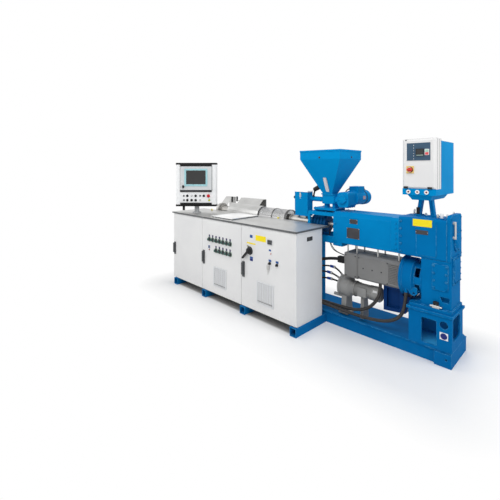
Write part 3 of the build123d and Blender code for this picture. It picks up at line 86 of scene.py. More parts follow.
class Wire:
    # One output socket; sums and products of it add Math nodes
    def __init__(self, tree, socket):
        self.tree = tree
        self.socket = socket

    def sum(self, operation, first, second, third=None):
        made = self.tree.nodes.new("ShaderNodeMath")
        made.operation = operation
        for slot, item in zip(made.inputs, (first, second, third)):
            if isinstance(item, Wire):
                self.tree.links.new(item.socket, slot)
            elif item is not None:
                slot.default_value = item
        return Wire(self.tree, made.outputs[0])

    def __add__(self, other):
        return self.sum("ADD", self, other)

    def __radd__(self, other):
        return self.sum("ADD", other, self)

    def __sub__(self, other):
        return self.sum("SUBTRACT", self, other)

    def __rsub__(self, other):
        return self.sum("SUBTRACT", other, self)

    def __mul__(self, other):
        return self.sum("MULTIPLY", self, other)

    def __rmul__(self, other):
        return self.sum("MULTIPLY", other, self)

    def __truediv__(self, other):
        return self.sum("DIVIDE", self, other)

    def __pow__(self, other):
        return self.sum("POWER", self, other)

    def __gt__(self, other):
        return self.sum("GREATER_THAN", self, other)

    def __lt__(self, other):
        return self.sum("LESS_THAN", self, other)

    def __abs__(self):
        return self.sum("ABSOLUTE", self, None)

    def clipped(self):
        made = self.sum("ADD", self, 0.0)
        made.socket.node.use_clamp = True
        return made


class Finish:
    # A procedural material; parts of it are made with node() and fed to the shader with feed()
    def __init__(self, name, **fixed):
        self.material = bpy.data.materials.new(name)
        self.material.use_nodes = True
        self.tree = self.material.node_tree
        self.shader = self.tree.nodes["Principled BSDF"]
        for socketName, value in fixed.items():
            self.feed(socketName.replace("_", " "), value)
        self.place = self.node("ShaderNodeTexCoord")["Object"]
        split = self.node("ShaderNodeSeparateXYZ", inputs={"Vector": self.place})
        self.x, self.y, self.z = split["X"], split["Y"], split["Z"]

    def node(self, kind, settings=None, inputs=None):
        made = self.tree.nodes.new(kind)
        for key, value in (settings or {}).items():
            setattr(made, key, value)
        for key, value in (inputs or {}).items():
            if isinstance(value, Wire):
                self.tree.links.new(value.socket, made.inputs[key])
            else:
                made.inputs[key].default_value = value
        return {out.name: Wire(self.tree, out) for out in made.outputs if out.enabled}

    def feed(self, socketName, value):
        if isinstance(value, Wire):
            self.tree.links.new(value.socket, self.shader.inputs[socketName])
        elif isinstance(value, tuple) and len(value) == 3:
            self.shader.inputs[socketName].default_value = (*value, 1)
        else:
            self.shader.inputs[socketName].default_value = value

    def noise(self, scale, detail=3.0, rough=0.55, stretch=None):
        vector = self.place
        if stretch:
            vector = self.node("ShaderNodeMapping", inputs={"Vector": self.place, "Scale": stretch})["Vector"]
        return self.node("ShaderNodeTexNoise", inputs={"Vector": vector, "Scale": scale, "Detail": detail,
                                                       "Roughness": rough})["Fac"]

    def blend(self, mask, first, second):
        made = self.tree.nodes.new("ShaderNodeMix")
        made.data_type = "RGBA"
        for slot, item in ((made.inputs[0], mask), (made.inputs[6], first), (made.inputs[7], second)):
            if isinstance(item, Wire):
                self.tree.links.new(item.socket, slot)
            else:
                slot.default_value = (*item, 1) if isinstance(item, tuple) else item
        return Wire(self.tree, made.outputs[2])

    def ramp(self, value, low, high):
        return self.node("ShaderNodeMapRange", settings={"clamp": True},
                         inputs={"Value": value, "From Min": low, "From Max": high})["Result"]

    def bump(self, height, depth, strength=1.0, normal=None):
        inputs = {"Height": height, "Distance": depth, "Strength": strength}
        if normal is not None:
            inputs["Normal"] = normal
        return self.node("ShaderNodeBump", inputs=inputs)["Normal"]

    def edges(self, radius):
        # 1 along outer edges, from how far a rounded normal leans away from the true one
        rounded = self.node("ShaderNodeBevel", settings={"samples": edgeLook["samples"]},
                            inputs={"Radius": radius})["Normal"]
        flat = self.node("ShaderNodeNewGeometry")["Normal"]
        lean = self.node("ShaderNodeVectorMath", settings={"operation": "DOT_PRODUCT"},
                         inputs={0: rounded, 1: flat})["Value"]
        return self.ramp(1 - lean, edgeLook["low"], edgeLook["high"]), rounded


def tint(red, green, blue):
    # A screen colour from 0 to 255 as the linear numbers that shaders use
    def line(value):
        value = value / 255
        return value / 12.92 if value <= 0.04045 else ((value + 0.055) / 1.055) ** 2.4
    return (line(red), line(green), line(blue))


def seenRays(tree):
    # 1 for the rays that reach the camera straight, by a mirror or through glass
    path = tree.nodes.new("ShaderNodeLightPath")
    kinds = ("Is Camera Ray", "Is Glossy Ray", "Is Transmission Ray")
    straight, mirrored, through = (Wire(tree, path.outputs[kind]) for kind in kinds)
    return (straight + mirrored + through).clipped()


def evenLight(tree, kind, tone=(1, 1, 1), strength=1.0):
    made = tree.nodes.new(kind)
    made.inputs["Color"].default_value = (*tone, 1)
    made.inputs["Strength"].default_value = strength
    return made.outputs[0]


def mixInto(tree, share, first, second, output):
    mix = tree.nodes.new("ShaderNodeMixShader")
    for slot, socket in zip(mix.inputs, (share.socket, first, second)):
        tree.links.new(socket, slot)
    tree.links.new(mix.outputs[0], output.inputs["Surface"])


def buildWorld():
    world = bpy.data.worlds.new("studio")
    bpy.context.scene.world = world
    world.use_nodes = True
    tree = world.node_tree
    tree.nodes.clear()
    soft = evenLight(tree, "ShaderNodeBackground", worldLight["tone"], worldLight["strength"])
    white = evenLight(tree, "ShaderNodeBackground")
    mixInto(tree, seenRays(tree), soft, white, tree.nodes.new("ShaderNodeOutputWorld"))


def buildFloor():
    bpy.ops.object.select_all(action="DESELECT")
    bpy.ops.mesh.primitive_plane_add(size=floorSettings["size"], location=(0, 0, 0))
    floor = bpy.context.object
    floor.name = "floor"
    finish = Finish("floorCoat", Roughness=floorSettings["rough"])
    tone, soft = floorSettings["tone"], floorSettings["softness"]
    (left, front), (right, rear) = floorSettings["covered"]
    # Painted shadow: the floor under the machine's outline is drawn darker, with soft sides
    covered = (((finish.x - left) / soft).clipped() * ((right - finish.x) / soft).clipped()
               * ((finish.y - front) / soft).clipped() * ((rear - finish.y) / soft).clipped())
    pale = finish.blend(finish.noise(floorSettings["drift"]), (tone, tone, tone),
                        tuple(tone * share for share in floorSettings["cooler"]))
    finish.feed("Base Color", finish.blend(covered * floorSettings["darkening"], pale, floorSettings["shadowTone"]))
    # Away from the machine's outline the floor runs out into the white background
    (middleX, middleY), (halfX, halfY) = floorSettings["middle"], floorSettings["half"]
    sideways = (abs(finish.x - middleX) - halfX).clipped()
    ahead = (abs(finish.y - middleY) - halfY).clipped()
    away = finish.ramp((sideways * sideways + ahead * ahead) ** 0.5, floorSettings["near"],
                       floorSettings["far"])
    mixInto(finish.tree, (away * seenRays(finish.tree)).clipped(), finish.shader.outputs[0],
            evenLight(finish.tree, "ShaderNodeEmission"), finish.tree.nodes["Material Output"])
    floor.data.materials.append(finish.material)


buildWorld()
buildFloor()
print("camera, lamps and floor set")


# Finishes; tones are screen colours from 0 to 255, and those of steel are linear

paintSettings = {
    "bluePaint": {"tones": ((0, 144, 208), (0, 108, 170), (104, 196, 234)), "gloss": 0.5, "wearAndHighlight": 0.45,
                  "paintedHeightShade": 0.6, "shine": 0.03},
    # The motor bracket's dark blue is painted shade, for the shade it sits in under the drive
    "shadedBluePaint": {"tones": ((8, 60, 124), (6, 46, 98), (64, 110, 170)), "gloss": 0.38},
    # castPaint's wide, strong light edges are painted highlight on the flange steps as well as wear
    "castPaint": {"tones": ((0, 120, 184), (0, 98, 160), (120, 200, 236)), "gloss": 0.6, "dirt": 0.03,
                  "wearAndHighlight": 0.8, "paintedHeightShade": 0.5, "shine": 0.03, "edgeWidth": 0.006,
                  "paintedInsideLight": {"middle": (1.100, -0.020), "half": (0.1645, 0.1565), "bottom": 0.1245,
                             "top": 0.44, "tone": (50, 150, 206)}},
    # The feed cylinder's dark blue is painted shade, for the shade under the feed plate
    "shadedFeedPaint": {"tones": ((0, 84, 138), (0, 62, 106), (40, 120, 170)), "dirt": 0.3},
    "whitePaint": {"tones": ((232, 232, 231), (224, 224, 224), (242, 242, 242)), "gloss": 0.36, "dirt": 0.12,
                   "wearAndHighlight": 0.3},
    "casePaint": {"tones": ((243, 244, 244), (237, 238, 238), (248, 248, 248)), "gloss": 0.4, "wearAndHighlight": 0.3},
    "consolePaint": {"tones": ((214, 216, 216), (203, 206, 208), (235, 236, 236)), "gloss": 0.4, "wearAndHighlight": 0.3},
    "motorPaint": {"tones": ((134, 134, 133), (117, 117, 117), (172, 172, 172)), "gloss": 0.5,
                   "grain": 0.0006, "wearAndHighlight": 0.4},
    "pumpPaint": {"tones": ((158, 158, 156), (138, 138, 137), (186, 186, 184)), "gloss": 0.5,
                  "grain": 0.0008, "wearAndHighlight": 0.4},
    "postPaint": {"tones": ((184, 186, 187), (166, 168, 170), (208, 208, 208)), "gloss": 0.4},
}
steelSettings = {
    "plateSteel": {"tone": (0.60, 0.60, 0.59), "stretch": (5.0, 420.0, 420.0)},
    "brightSteel": {"tone": (0.92, 0.92, 0.92), "stretch": (6.0, 260.0, 260.0), "rough": 0.32, "smudge": 0.05,
                    "darkening": 0.93},
    "turnedSteel": {"tone": (0.50, 0.49, 0.47), "stretch": (300.0, 20.0, 20.0), "rough": 0.3,
                    "scratch": 0.0002},
    "guardSteel": {"tone": (0.60, 0.60, 0.60), "stretch": (60.0, 60.0, 60.0), "rough": 0.36},
    "zincSteel": {"tone": (0.62, 0.62, 0.60), "stretch": (60.0, 60.0, 60.0), "rough": 0.34,
                  "scratch": 0.0001},
    "strapSteel": {"tone": (0.13, 0.13, 0.13), "stretch": (200.0, 30.0, 30.0), "rough": 0.42},
}
plasticSettings = {
    # Tone, roughness, how much lighter worn places are, scale of the grain
    "blackPlastic": ((24, 24, 26), 0.5),
    "barBlack": ((8, 8, 9), 0.6, 1.3),
    "greyPlastic": ((96, 99, 103), 0.45, 1.3),
    "conduitPlastic": ((54, 52, 51), 0.5, 1.7),
    "rubberBlack": ((28, 28, 30), 0.6, 1.5, 900.0),
    "knobGreen": ((58, 92, 84), 0.4),
    "displayBlue": ((52, 78, 100), 0.3, 1.25),
    "lcdGrey": ((150, 176, 168), 0.35, 1.1),
    "paleGreen": ((168, 208, 190), 0.4, 1.1),
    "softRed": ((222, 84, 92), 0.4, 1.2),
    "dullRed": ((120, 34, 40), 0.3, 1.4),
    "dialGreen": ((118, 146, 128), 0.45, 1.2),
    "oliveGrey": ((120, 122, 88), 0.5, 1.2),
    "edgeGrey": ((92, 94, 96), 0.45, 1.25),
    "deepLabel": ((26, 38, 112), 0.45, 1.2),
    "grilleGrey": ((212, 212, 212), 0.5, 1.05),
    "grilleSlotShade": ((150, 151, 152), 0.5, 1.1),
    "agedYellow": ((232, 200, 120), 0.45, 1.05),
    "agedRed": ((206, 62, 48), 0.4, 1.15),
    "labelViolet": ((64, 60, 96), 0.45, 1.3),
    "platePink": ((176, 150, 156), 0.4, 1.15),
    "sightPane": ((206, 200, 204), 0.22, 1.15),
    "labelBlue": ((38, 84, 150), 0.5, 1.15),
    "labelYellow": ((244, 222, 24), 0.45, 1.05),
    "labelWhite": ((238, 238, 236), 0.45, 1.02),
    "signalRed": ((196, 22, 34), 0.3, 1.1),
    "signalGreen": ((52, 150, 100), 0.35, 1.1),
    "couplingBlue": ((24, 62, 150), 0.35, 1.3),
    "bezelCyan": ((160, 206, 212), 0.4, 1.1),
    "plateDark": ((58, 58, 62), 0.42, 1.4),
}
glassSettings = {"tones": ((10, 11, 12), (20, 22, 23)), "haze": 6.0, "grain": 240.0, "depth": 0.00003}
heaterBands = {"left": -1.085, "right": -0.590, "pitch": 0.099, "seam": 0.06, "tone": (46, 44, 42),
               "steel": ((0.50, 0.49, 0.47), (0.40, 0.39, 0.37)), "stretch": (300.0, 20.0, 20.0)}
fittingSettings = {"dark": ((60, 63, 66), (78, 80, 82)), "pale": ((214, 216, 218), (230, 231, 232)),
                   "grilles": (-1.18, -0.395), "reach": 0.16, "top": 0.47}
dustTone = (120, 112, 100)


def paintCoat(name, tones, gloss=0.46, grain=0.00025, dirt=0.10, wearAndHighlight=0.55, paintedHeightShade=0.0, shine=0.08,
              edgeWidth=0.0032, paintedInsideLight=None):
    # Sprayed machine paint: slow colour drift, painted light high up and painted shade low down, orange peel,
    # edges lighter from wear and from painted highlight, dust low down
    finish = Finish(name, Specular_IOR_Level=shine, Coat_Weight=0.0)
    tone, shade, wornEdgeAndHighlightTone = (tint(*screen) for screen in tones)
    cloud = finish.noise(2.3, 5.0)
    speck = finish.noise(38.0, 4.0)
    edge, rounded = finish.edges(edgeWidth)
    # Lighter edges are partly wear and partly painted highlight, where edges catch the light
    wornAndHighlitEdge = (edge * finish.ramp(finish.noise(24.0, 5.0), 0.38, 0.62) * wearAndHighlight).clipped()
    dust = (finish.ramp(finish.z, 0.34, 0.0) * finish.ramp(speck, 0.35, 0.75) * dirt).clipped()
    # Painted light and shade: part of the drift runs with height, so the paint is drawn lighter high up and
    # darker low down
    drift = finish.ramp(cloud, 0.3, 0.72) * (1.0 - paintedHeightShade) + finish.ramp(finish.z, 1.5, 0.5) * paintedHeightShade
    colour = finish.blend(drift.clipped(), tone, shade)
    if paintedInsideLight:
        # Painted light: the inside of a hollow casting is drawn lighter, as if lit through its windows
        (middleX, middleY), (halfX, halfY) = paintedInsideLight["middle"], paintedInsideLight["half"]
        within = ((abs(finish.x - middleX) < halfX) * (abs(finish.y - middleY) < halfY)
                  * (finish.z < paintedInsideLight["top"]) * (finish.z > paintedInsideLight["bottom"]))
        colour = finish.blend(within, colour, tint(*paintedInsideLight["tone"]))
    colour = finish.blend(wornAndHighlitEdge, colour, wornEdgeAndHighlightTone)
    finish.feed("Base Color", finish.blend(dust, colour, tint(*dustTone)))
    finish.feed("Roughness", gloss + cloud * 0.12 + dust * 0.4 + wornAndHighlitEdge * 0.12)
    peel = finish.noise(420.0, 2.0)
    finish.feed("Normal", finish.bump(peel, grain, 0.5, finish.bump(cloud, 0.0012, 0.3, rounded)))
    return finish.material


def brushedSteel(name, tone, stretch, rough=0.27, scratch=0.00012, smudge=0.12, darkening=0.8):
    # Sheet with a brushed grain along the long direction of stretch
    finish = Finish(name, Metallic=1.0, Anisotropic=0.45)
    grain = finish.noise(1.0, 6.0, 0.7, stretch)
    cloud = finish.noise(5.0, 4.0)
    mask = (finish.ramp(cloud, 0.35, 0.75) * 0.7 + grain * 0.3).clipped()
    finish.feed("Base Color", finish.blend(mask, tone, tuple(c * darkening for c in tone)))
    finish.feed("Roughness", rough + grain * 0.2 + cloud * smudge)
    finish.feed("Normal", finish.bump(grain, scratch, 0.6))
    return finish.material


def mouldedPlastic(name, screen, rough, lighter=1.5, scale=500.0):
    finish = Finish(name, Specular_IOR_Level=0.3)
    tone = tint(*screen)
    cloud = finish.noise(14.0, 4.0)
    fine = finish.noise(scale, 3.0)
    edge, rounded = finish.edges(0.0015)
    worn = (finish.ramp(cloud, 0.4, 0.8) * 0.5 + edge * 0.4).clipped()
    finish.feed("Base Color", finish.blend(worn, tone, tuple(min(1.0, c * lighter + 0.01) for c in tone)))
    finish.feed("Roughness", rough + cloud * 0.18)
    finish.feed("Normal", finish.bump(fine, 0.00015, 0.6, rounded))
    return finish.material


def darkGlass(name):
    finish = Finish(name, Roughness=0.12, Coat_Weight=0.6, Coat_Roughness=0.05, IOR=1.45)
    haze = finish.ramp(finish.noise(glassSettings["haze"], 3.0), 0.3, 0.8)
    finish.feed("Base Color", finish.blend(haze, *(tint(*tone) for tone in glassSettings["tones"])))
    finish.feed("Normal", finish.bump(finish.noise(glassSettings["grain"], 2.0), glassSettings["depth"], 0.3))
    return finish.material


def heatedBarrel(name):
    # Turned bar with the dark heater bands that show through the perforated guards
    finish = Finish(name, Anisotropic=0.4)
    grain = finish.noise(1.0, 6.0, 0.7, heaterBands["stretch"])
    cloud = finish.noise(5.0, 4.0)
    reach = (finish.x - heaterBands["left"]) / heaterBands["pitch"]
    seam = reach.sum("FRACT", reach, None) < heaterBands["seam"]
    banded = (finish.x > heaterBands["left"]) * (finish.x < heaterBands["right"]) * (1 - seam)
    steel = finish.blend(cloud, *heaterBands["steel"])
    finish.feed("Base Color", finish.blend(banded, steel, tint(*heaterBands["tone"])))
    finish.feed("Metallic", 1 - banded * 0.7)
    finish.feed("Roughness", 0.3 + grain * 0.2 + cloud * 0.12)
    finish.feed("Normal", finish.bump(grain, 0.0002, 0.6))
    return finish.material


def fittingPlastic(name):
    # Handles and knobs are dark; the filter grilles low on the doors are pale
    finish = Finish(name, Specular_IOR_Level=0.45)
    cloud = finish.noise(14.0, 4.0)
    edge, rounded = finish.edges(0.0012)
    left, right = (abs(finish.x - middle) < fittingSettings["reach"] for middle in fittingSettings["grilles"])
    grille = ((finish.z < fittingSettings["top"]) * (left + right)).clipped()
    dark = finish.blend(cloud, *(tint(*tone) for tone in fittingSettings["dark"]))
    pale = finish.blend((edge * 0.6 + cloud * 0.4).clipped(),
                        *(tint(*tone) for tone in fittingSettings["pale"]))
    finish.feed("Base Color", finish.blend(grille, dark, pale))
    finish.feed("Roughness", 0.4 + cloud * 0.15)
    finish.feed("Normal", finish.bump(finish.noise(500.0), 0.00012, 0.5, rounded))
    return finish.material


finishes = {name: paintCoat(name, **settings) for name, settings in paintSettings.items()}
finishes.update({name: brushedSteel(name, **settings) for name, settings in steelSettings.items()})
finishes.update({name: mouldedPlastic(name, *settings) for name, settings in plasticSettings.items()})
finishes.update({"barrelSteel": heatedBarrel("barrelSteel"), "screenGlass": darkGlass("darkGlass"),
                 "fittingPlastic": fittingPlastic("doorFittings")})

nodeFinishes = {
    "bluePaint": ["barrel_supports", "control_box", "control_stand", "dosing_housing", "feed_plate",
                  "feeder_gearbox", "feeder_motor", "hopper", "hopper_lid", "inlet_box", "long_housing"],
    "castPaint": ["base_frame", "coupling_bell", "cross_tubes", "gearbox_covers", "gearbox_lower",
                  "gearbox_upper", "pedestal"],
    "shadedBluePaint": ["motor_bracket"],
    "shadedFeedPaint": ["feed_cylinder"],
    "whitePaint": ["cabinet_back", "cabinet_floor", "cabinet_walls", "door_left", "door_middle", "door_right",
                   "control_panel"],
    "consolePaint": ["console_panels"],
    "casePaint": ["console_case"],
    "plateSteel": ["table_top", "barrel_cover", "rear_guard", "rear_deck", "heater_guards"],
    "brightSteel": ["cover_plate", "inlet_lid"],
    "turnedSteel": ["screw_shaft"],
    "barrelSteel": ["barrel"],
    "zincSteel": ["motor_studs", "gearbox_fittings"],
    "strapSteel": ["guard_bands"],
    "motorPaint": ["main_motor", "terminal_box"],
    "pumpPaint": ["vacuum_pump", "pump_motor"],
    "barBlack": ["console_bars"],
    "blackPlastic": ["switch_lever"],
    "fittingPlastic": ["fittings_left", "fittings_middle", "fittings_right"],
    "postPaint": ["console_post"],
    "conduitPlastic": ["conduit_front", "conduit_rear"],
    "rubberBlack": ["power_lead", "hose_lower", "hose_middle", "hose_upper", "sensor_lead_left",
                    "sensor_lead_right"],
}
for finish, names in nodeFinishes.items():
    for name in names:
        mesh = nodes[name].data
        if not mesh.materials:
            mesh.materials.append(finishes[finish])
        for index in range(len(mesh.materials)):
            mesh.materials[index] = finishes[finish]
print("finishes made")

# Modelling helpers

# How near to an axis a normal or an edge has to run; bolt sizes are head radius, height and washer radius
squareTo = 0.9
boltSizes = {"rim": (0.0075, 0.0070, 0.0105), "dosing": (0.0065, 0.0055, 0.0090),
             "cover": (0.0068, 0.0062, 0.0088), "panel": (0.0075, 0.0068, 0.0105),
             "flange": (0.0072, 0.0070, 0.0100), "pump": (0.0065, 0.0060, 0.0090)}
boltSettings = {"disc": 0.0022, "start": 0.0018, "rim": 0.0016, "crown": 0.0008, "edge": 0.0005}
screwSettings = {"rim": 0.42, "hole": 0.2, "depth": 0.5, "edge": 0.0004}


def clearSelection():
    if bpy.context.object and bpy.context.object.mode != "OBJECT":
        bpy.ops.object.mode_set(mode="OBJECT")
    bpy.ops.object.select_all(action="DESELECT")


def focus(piece):
    clearSelection()
    piece.select_set(True)
    bpy.context.view_layer.objects.active = piece


def settle(piece):
    focus(piece)
    bpy.ops.object.transform_apply(location=True, rotation=True, scale=True)
    return piece


def addBlock(name, low, high):
    clearSelection()
    middle = [(a + b) / 2 for a, b in zip(low, high)]
    size = [b - a for a, b in zip(low, high)]
    bpy.ops.mesh.primitive_cube_add(size=1, location=middle, scale=size)
    piece = bpy.context.object
    piece.name = name
    return settle(piece)


def addRod(name, start, end, radius, sides=24):
    clearSelection()
    start, end = Vector(start), Vector(end)
    turn = (end - start).to_track_quat("Z", "Y").to_euler()
    bpy.ops.mesh.primitive_cylinder_add(vertices=sides, radius=radius, depth=(end - start).length,
                                        location=(start + end) / 2, rotation=turn)
    piece = bpy.context.object
    piece.name = name
    return settle(piece)


def addRing(name, centre, heading, radius, thickness, sides=28, around=10):
    clearSelection()
    turn = Vector(heading).to_track_quat("Z", "Y").to_euler()
    bpy.ops.mesh.primitive_torus_add(location=centre, rotation=turn, major_radius=radius,
                                     minor_radius=thickness, major_segments=sides, minor_segments=around)
    piece = bpy.context.object
    piece.name = name
    return settle(piece)


def pick(piece, test, kind="FACE"):
    # Leaves the piece in edit mode with the faces or edges that pass the test selected
    focus(piece)
    bpy.ops.object.mode_set(mode="EDIT")
    bpy.ops.mesh.select_mode(type=kind)
    bpy.ops.mesh.select_all(action="DESELECT")
    mesh = bmesh.from_edit_mesh(piece.data)
    if kind == "FACE":
        for face in mesh.faces:
            if test(face.calc_center_median(), face.normal):
                face.select_set(True)
    else:
        for edge in mesh.edges:
            a, b = edge.verts[0].co, edge.verts[1].co
            if test((a + b) / 2, (b - a).normalized()):
                edge.select_set(True)
    bmesh.update_edit_mesh(piece.data)


def leave():
    bpy.ops.object.mode_set(mode="OBJECT")


def insetFaces(piece, test, width, depth=0.0):
    pick(piece, test)
    bpy.ops.mesh.inset(thickness=width, depth=depth)
    leave()


def pushFaces(piece, test, move):
    pick(piece, test)
    bpy.ops.mesh.extrude_region_move(TRANSFORM_OT_translate={"value": move})
    leave()


def scaleFaces(piece, test, size):
    pick(piece, test)
    bpy.ops.transform.resize(value=size)
    leave()


def bevelEdges(piece, test, width, segments=3):
    pick(piece, test, "EDGE")
    bpy.ops.mesh.bevel(offset=width, segments=segments, affect="EDGES")
    leave()


def facing(axis, sign=1):
    return lambda centre, normal: normal[axis] * sign > squareTo


def along(axis):
    return lambda middle, run: abs(run[axis]) > squareTo


def joinAll(pieces, name):
    clearSelection()
    for piece in pieces:
        piece.select_set(True)
    bpy.context.view_layer.objects.active = pieces[0]
    if len(pieces) > 1:
        bpy.ops.object.join()
    pieces[0].name = name
    return settle(pieces[0])


def coat(piece, finish, edge=0.0, segments=2, angle=35):
    focus(piece)
    if edge:
        soft = piece.modifiers.new("softEdges", "BEVEL")
        soft.width = edge
        soft.segments = segments
        soft.limit_method = "ANGLE"
        soft.angle_limit = math.radians(30)
        bpy.ops.object.modifier_apply(modifier=soft.name)
    bpy.ops.object.shade_smooth_by_angle(angle=math.radians(angle))
    piece.data.materials.clear()
    piece.data.materials.append(finishes[finish])
    return piece


def seat(piece, body):
    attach(piece, body)
    return piece


def copyTo(master, places):
    # Places are (point, heading, turn); each copy gets its own mesh
    made = []
    for point, heading, turn in places:
        twin = master.copy()
        twin.data = master.data.copy()
        bpy.context.collection.objects.link(twin)
        lie = Vector(heading).to_track_quat("Z", "Y").to_matrix().to_4x4()
        twin.matrix_world = Matrix.Translation(point) @ lie @ Matrix.Rotation(math.radians(turn), 4, "Z")
        made.append(twin)
    bpy.data.objects.remove(master)
    return made


def hexBolt(radius, height, washer, finish="bluePaint"):
    disc = coat(addRod("boltDisc", (0, 0, 0), (0, 0, boltSettings["disc"]), washer, 18), finish)
    head = addRod("boltHead", (0, 0, boltSettings["start"]), (0, 0, height), radius, 6)
    insetFaces(head, facing(2), boltSettings["rim"], boltSettings["crown"])
    return joinAll([disc, coat(head, finish, boltSettings["edge"], 1)], "bolt")


def capScrew(radius, height, finish="zincSteel"):
    head = addRod("screwHead", (0, 0, 0), (0, 0, height), radius, 14)
    insetFaces(head, facing(2), radius * screwSettings["rim"])
    pushFaces(head, lambda c, n: n.z > squareTo and math.hypot(c.x, c.y) < radius * screwSettings["hole"],
              (0, 0, -height * screwSettings["depth"]))
    return coat(head, finish, screwSettings["edge"], 1)


def circlePlaces(centre, heading, radius, count, first=0.0, turnEach=17):
    lie = Vector(heading).to_track_quat("Z", "Y").to_matrix()
    places = []
    for step in range(count):
        angle = math.radians(first) + 2 * math.pi * step / count
        point = Vector(centre) + lie @ Vector((radius * math.cos(angle), radius * math.sin(angle), 0))
        places.append((point, heading, turnEach * step))
    return places


# Conduits, leads and hoses

cordKinds = {
    "conduit": {"diameter": 0.032, "finish": "conduitPlastic", "slot": "conduit_grey", "stiffness": "medium",
                "ribbed": 0.0065},
    "power": {"diameter": 0.034, "finish": "rubberBlack", "slot": "black_rubber", "stiffness": "stiff"},
    "hose": {"diameter": 0.018, "finish": "rubberBlack", "slot": "black_rubber", "stiffness": "medium"},
    "sensor": {"diameter": 0.008, "finish": "rubberBlack", "slot": "black_rubber", "stiffness": "medium"},
}
cordSettings = {
    "conduit_rear": {"points": [(-0.304, -0.226, 0.204), (-0.120, -0.128, 0.199), (0.120, -0.126, 0.198),
                                (0.340, -0.128, 0.205), (0.500, -0.138, 0.262), (0.600, -0.142, 0.372),
                                (0.626, -0.116, 0.458), (0.622, -0.103, 0.5376)]},
    "conduit_front": {"points": [(-0.200, -0.226, 0.196), (-0.090, -0.168, 0.192), (0.130, -0.166, 0.186),
                                 (0.340, -0.167, 0.179), (0.540, -0.166, 0.184), (0.715, -0.166, 0.212),
                                 (0.842, -0.164, 0.292), (0.881, -0.148, 0.410), (0.884, -0.140, 0.5348)]},
    "power_lead": {"points": [(-0.170, -0.226, 0.640), (-0.070, -0.128, 0.660), (0.035, -0.066, 0.684),
                              (0.1278, -0.060, 0.691)]},
    "hose_upper": {"coupling": 0.020, "points": [(-0.150, -0.226, 0.571), (-0.150, -0.130, 0.571),
                                                 (-0.030, -0.026, 0.580), (0.075, -0.015, 0.570),
                                                 (0.1304, -0.015, 0.5206)]},
    "hose_middle": {"coupling": 0.012, "points": [(-0.150, -0.226, 0.514), (-0.150, -0.156, 0.514),
                                                  (-0.066, -0.080, 0.520), (0.045, -0.070, 0.521),
                                                  (0.1216, -0.070, 0.4924)]},
    "hose_lower": {"coupling": 0.004, "points": [(-0.150, -0.226, 0.434), (-0.150, -0.152, 0.434),
                                                 (-0.072, -0.066, 0.441), (0.035, -0.050, 0.445),
                                                 (0.1184, -0.050, 0.436)]},
    "sensor_lead_left": {"points": [(0.024, -0.047, 1.058), (0.020, -0.084, 1.010), (0.026, -0.088, 0.905),
                                    (0.058, -0.084, 0.815), (0.125, -0.076, 0.762),
                                    (0.2172, -0.070, 0.748)]},
    "sensor_lead_right": {"points": [(0.046, -0.047, 1.052), (0.038, -0.100, 0.990),
                                     (0.036, -0.106, 0.890), (0.060, -0.098, 0.806),
                                     (0.122, -0.092, 0.768), (0.2172, -0.086, 0.750)]},
}
couplingSettings = {"reach": 0.052, "radius": 0.0150, "nutRadius": 1.14, "nutSpan": (0.36, 0.72)}


def routeCurve(name, points):
    data = bpy.data.curves.new(name, "CURVE")
    data.dimensions = "3D"
    data.resolution_u = 24
    line = data.splines.new("NURBS")
    line.points.add(len(points) - 1)
    for knot, point in zip(line.points, points):
        knot.co = (*point, 1)
    line.order_u = 3
    line.use_endpoint_u = True
    curve = bpy.data.objects.new(name, data)
    bpy.context.collection.objects.link(curve)
    return curve


def sampled(curve):
    bpy.context.view_layer.update()
    mesh = bpy.data.meshes.new_from_object(curve.evaluated_get(bpy.context.evaluated_depsgraph_get()))
    points = [v.co.copy() for v in mesh.vertices]
    bpy.data.meshes.remove(mesh)
    return points


def routeLength(points):
    return sum((b - a).length for a, b in zip(points, points[1:]))


def ribbedTube(name, guide, reach, radius, pitch, groove=0.9):
    # One corrugation, arrayed along X and laid on the route
    ring = addRod(name, (0, 0, 0), (pitch, 0, 0), radius * groove, 18)
    pick(ring, lambda c, n: abs(n.x) > squareTo)
    bpy.ops.mesh.delete(type="FACE")
    bpy.ops.mesh.select_all(action="SELECT")
    bpy.ops.mesh.subdivide(number_cuts=1)
    leave()
    pick(ring, lambda middle, run: abs(middle.x - pitch / 2) < pitch * 0.1 and abs(run.x) < 0.1, "EDGE")
    bpy.ops.mesh.bevel(offset=pitch * 0.2, segments=1, affect="EDGES")
    bpy.ops.transform.resize(value=(1, 1 / groove, 1 / groove), center_override=(pitch / 2, 0, 0))
    leave()
    row = ring.modifiers.new("row", "ARRAY")
    row.fit_type = "FIT_LENGTH"
    row.fit_length = reach
    row.use_merge_vertices = True
    row.merge_threshold = 0.0004
    bpy.ops.object.modifier_apply(modifier=row.name)
    lay = ring.modifiers.new("lay", "CURVE")
    lay.object = guide
    lay.deform_axis = "POS_X"
    bpy.ops.object.modifier_apply(modifier=lay.name)
    return ring


def sleeveOn(path, middleX):
    # A coupling sleeve with its nut round a hose, square to its run at middleX
    reach, radius = couplingSettings["reach"], couplingSettings["radius"]
    nutRadius = radius * couplingSettings["nutRadius"]
    near = min(range(1, len(path) - 1), key=lambda k: abs(path[k].x - middleX))
    run = (path[near + 1] - path[near - 1]).normalized()
    first, last = (run * reach * share for share in couplingSettings["nutSpan"])
    body = addRod("sleeve", path[near] - run * reach / 2, path[near] + run * reach / 2, radius, 20)
    insetFaces(body, lambda c, n: abs(n.dot(run)) > squareTo, radius * 0.2, 0.0006)
    nut = addRod("sleeveNut", path[near] + first, path[near] + last, nutRadius, 6)
    insetFaces(nut, lambda c, n: abs(n.dot(run)) > squareTo, radius * 0.15, 0.0006)
    return joinAll([coat(body, "couplingBlue", 0.001, 2), coat(nut, "zincSteel", 0.0006, 1)], "coupling")


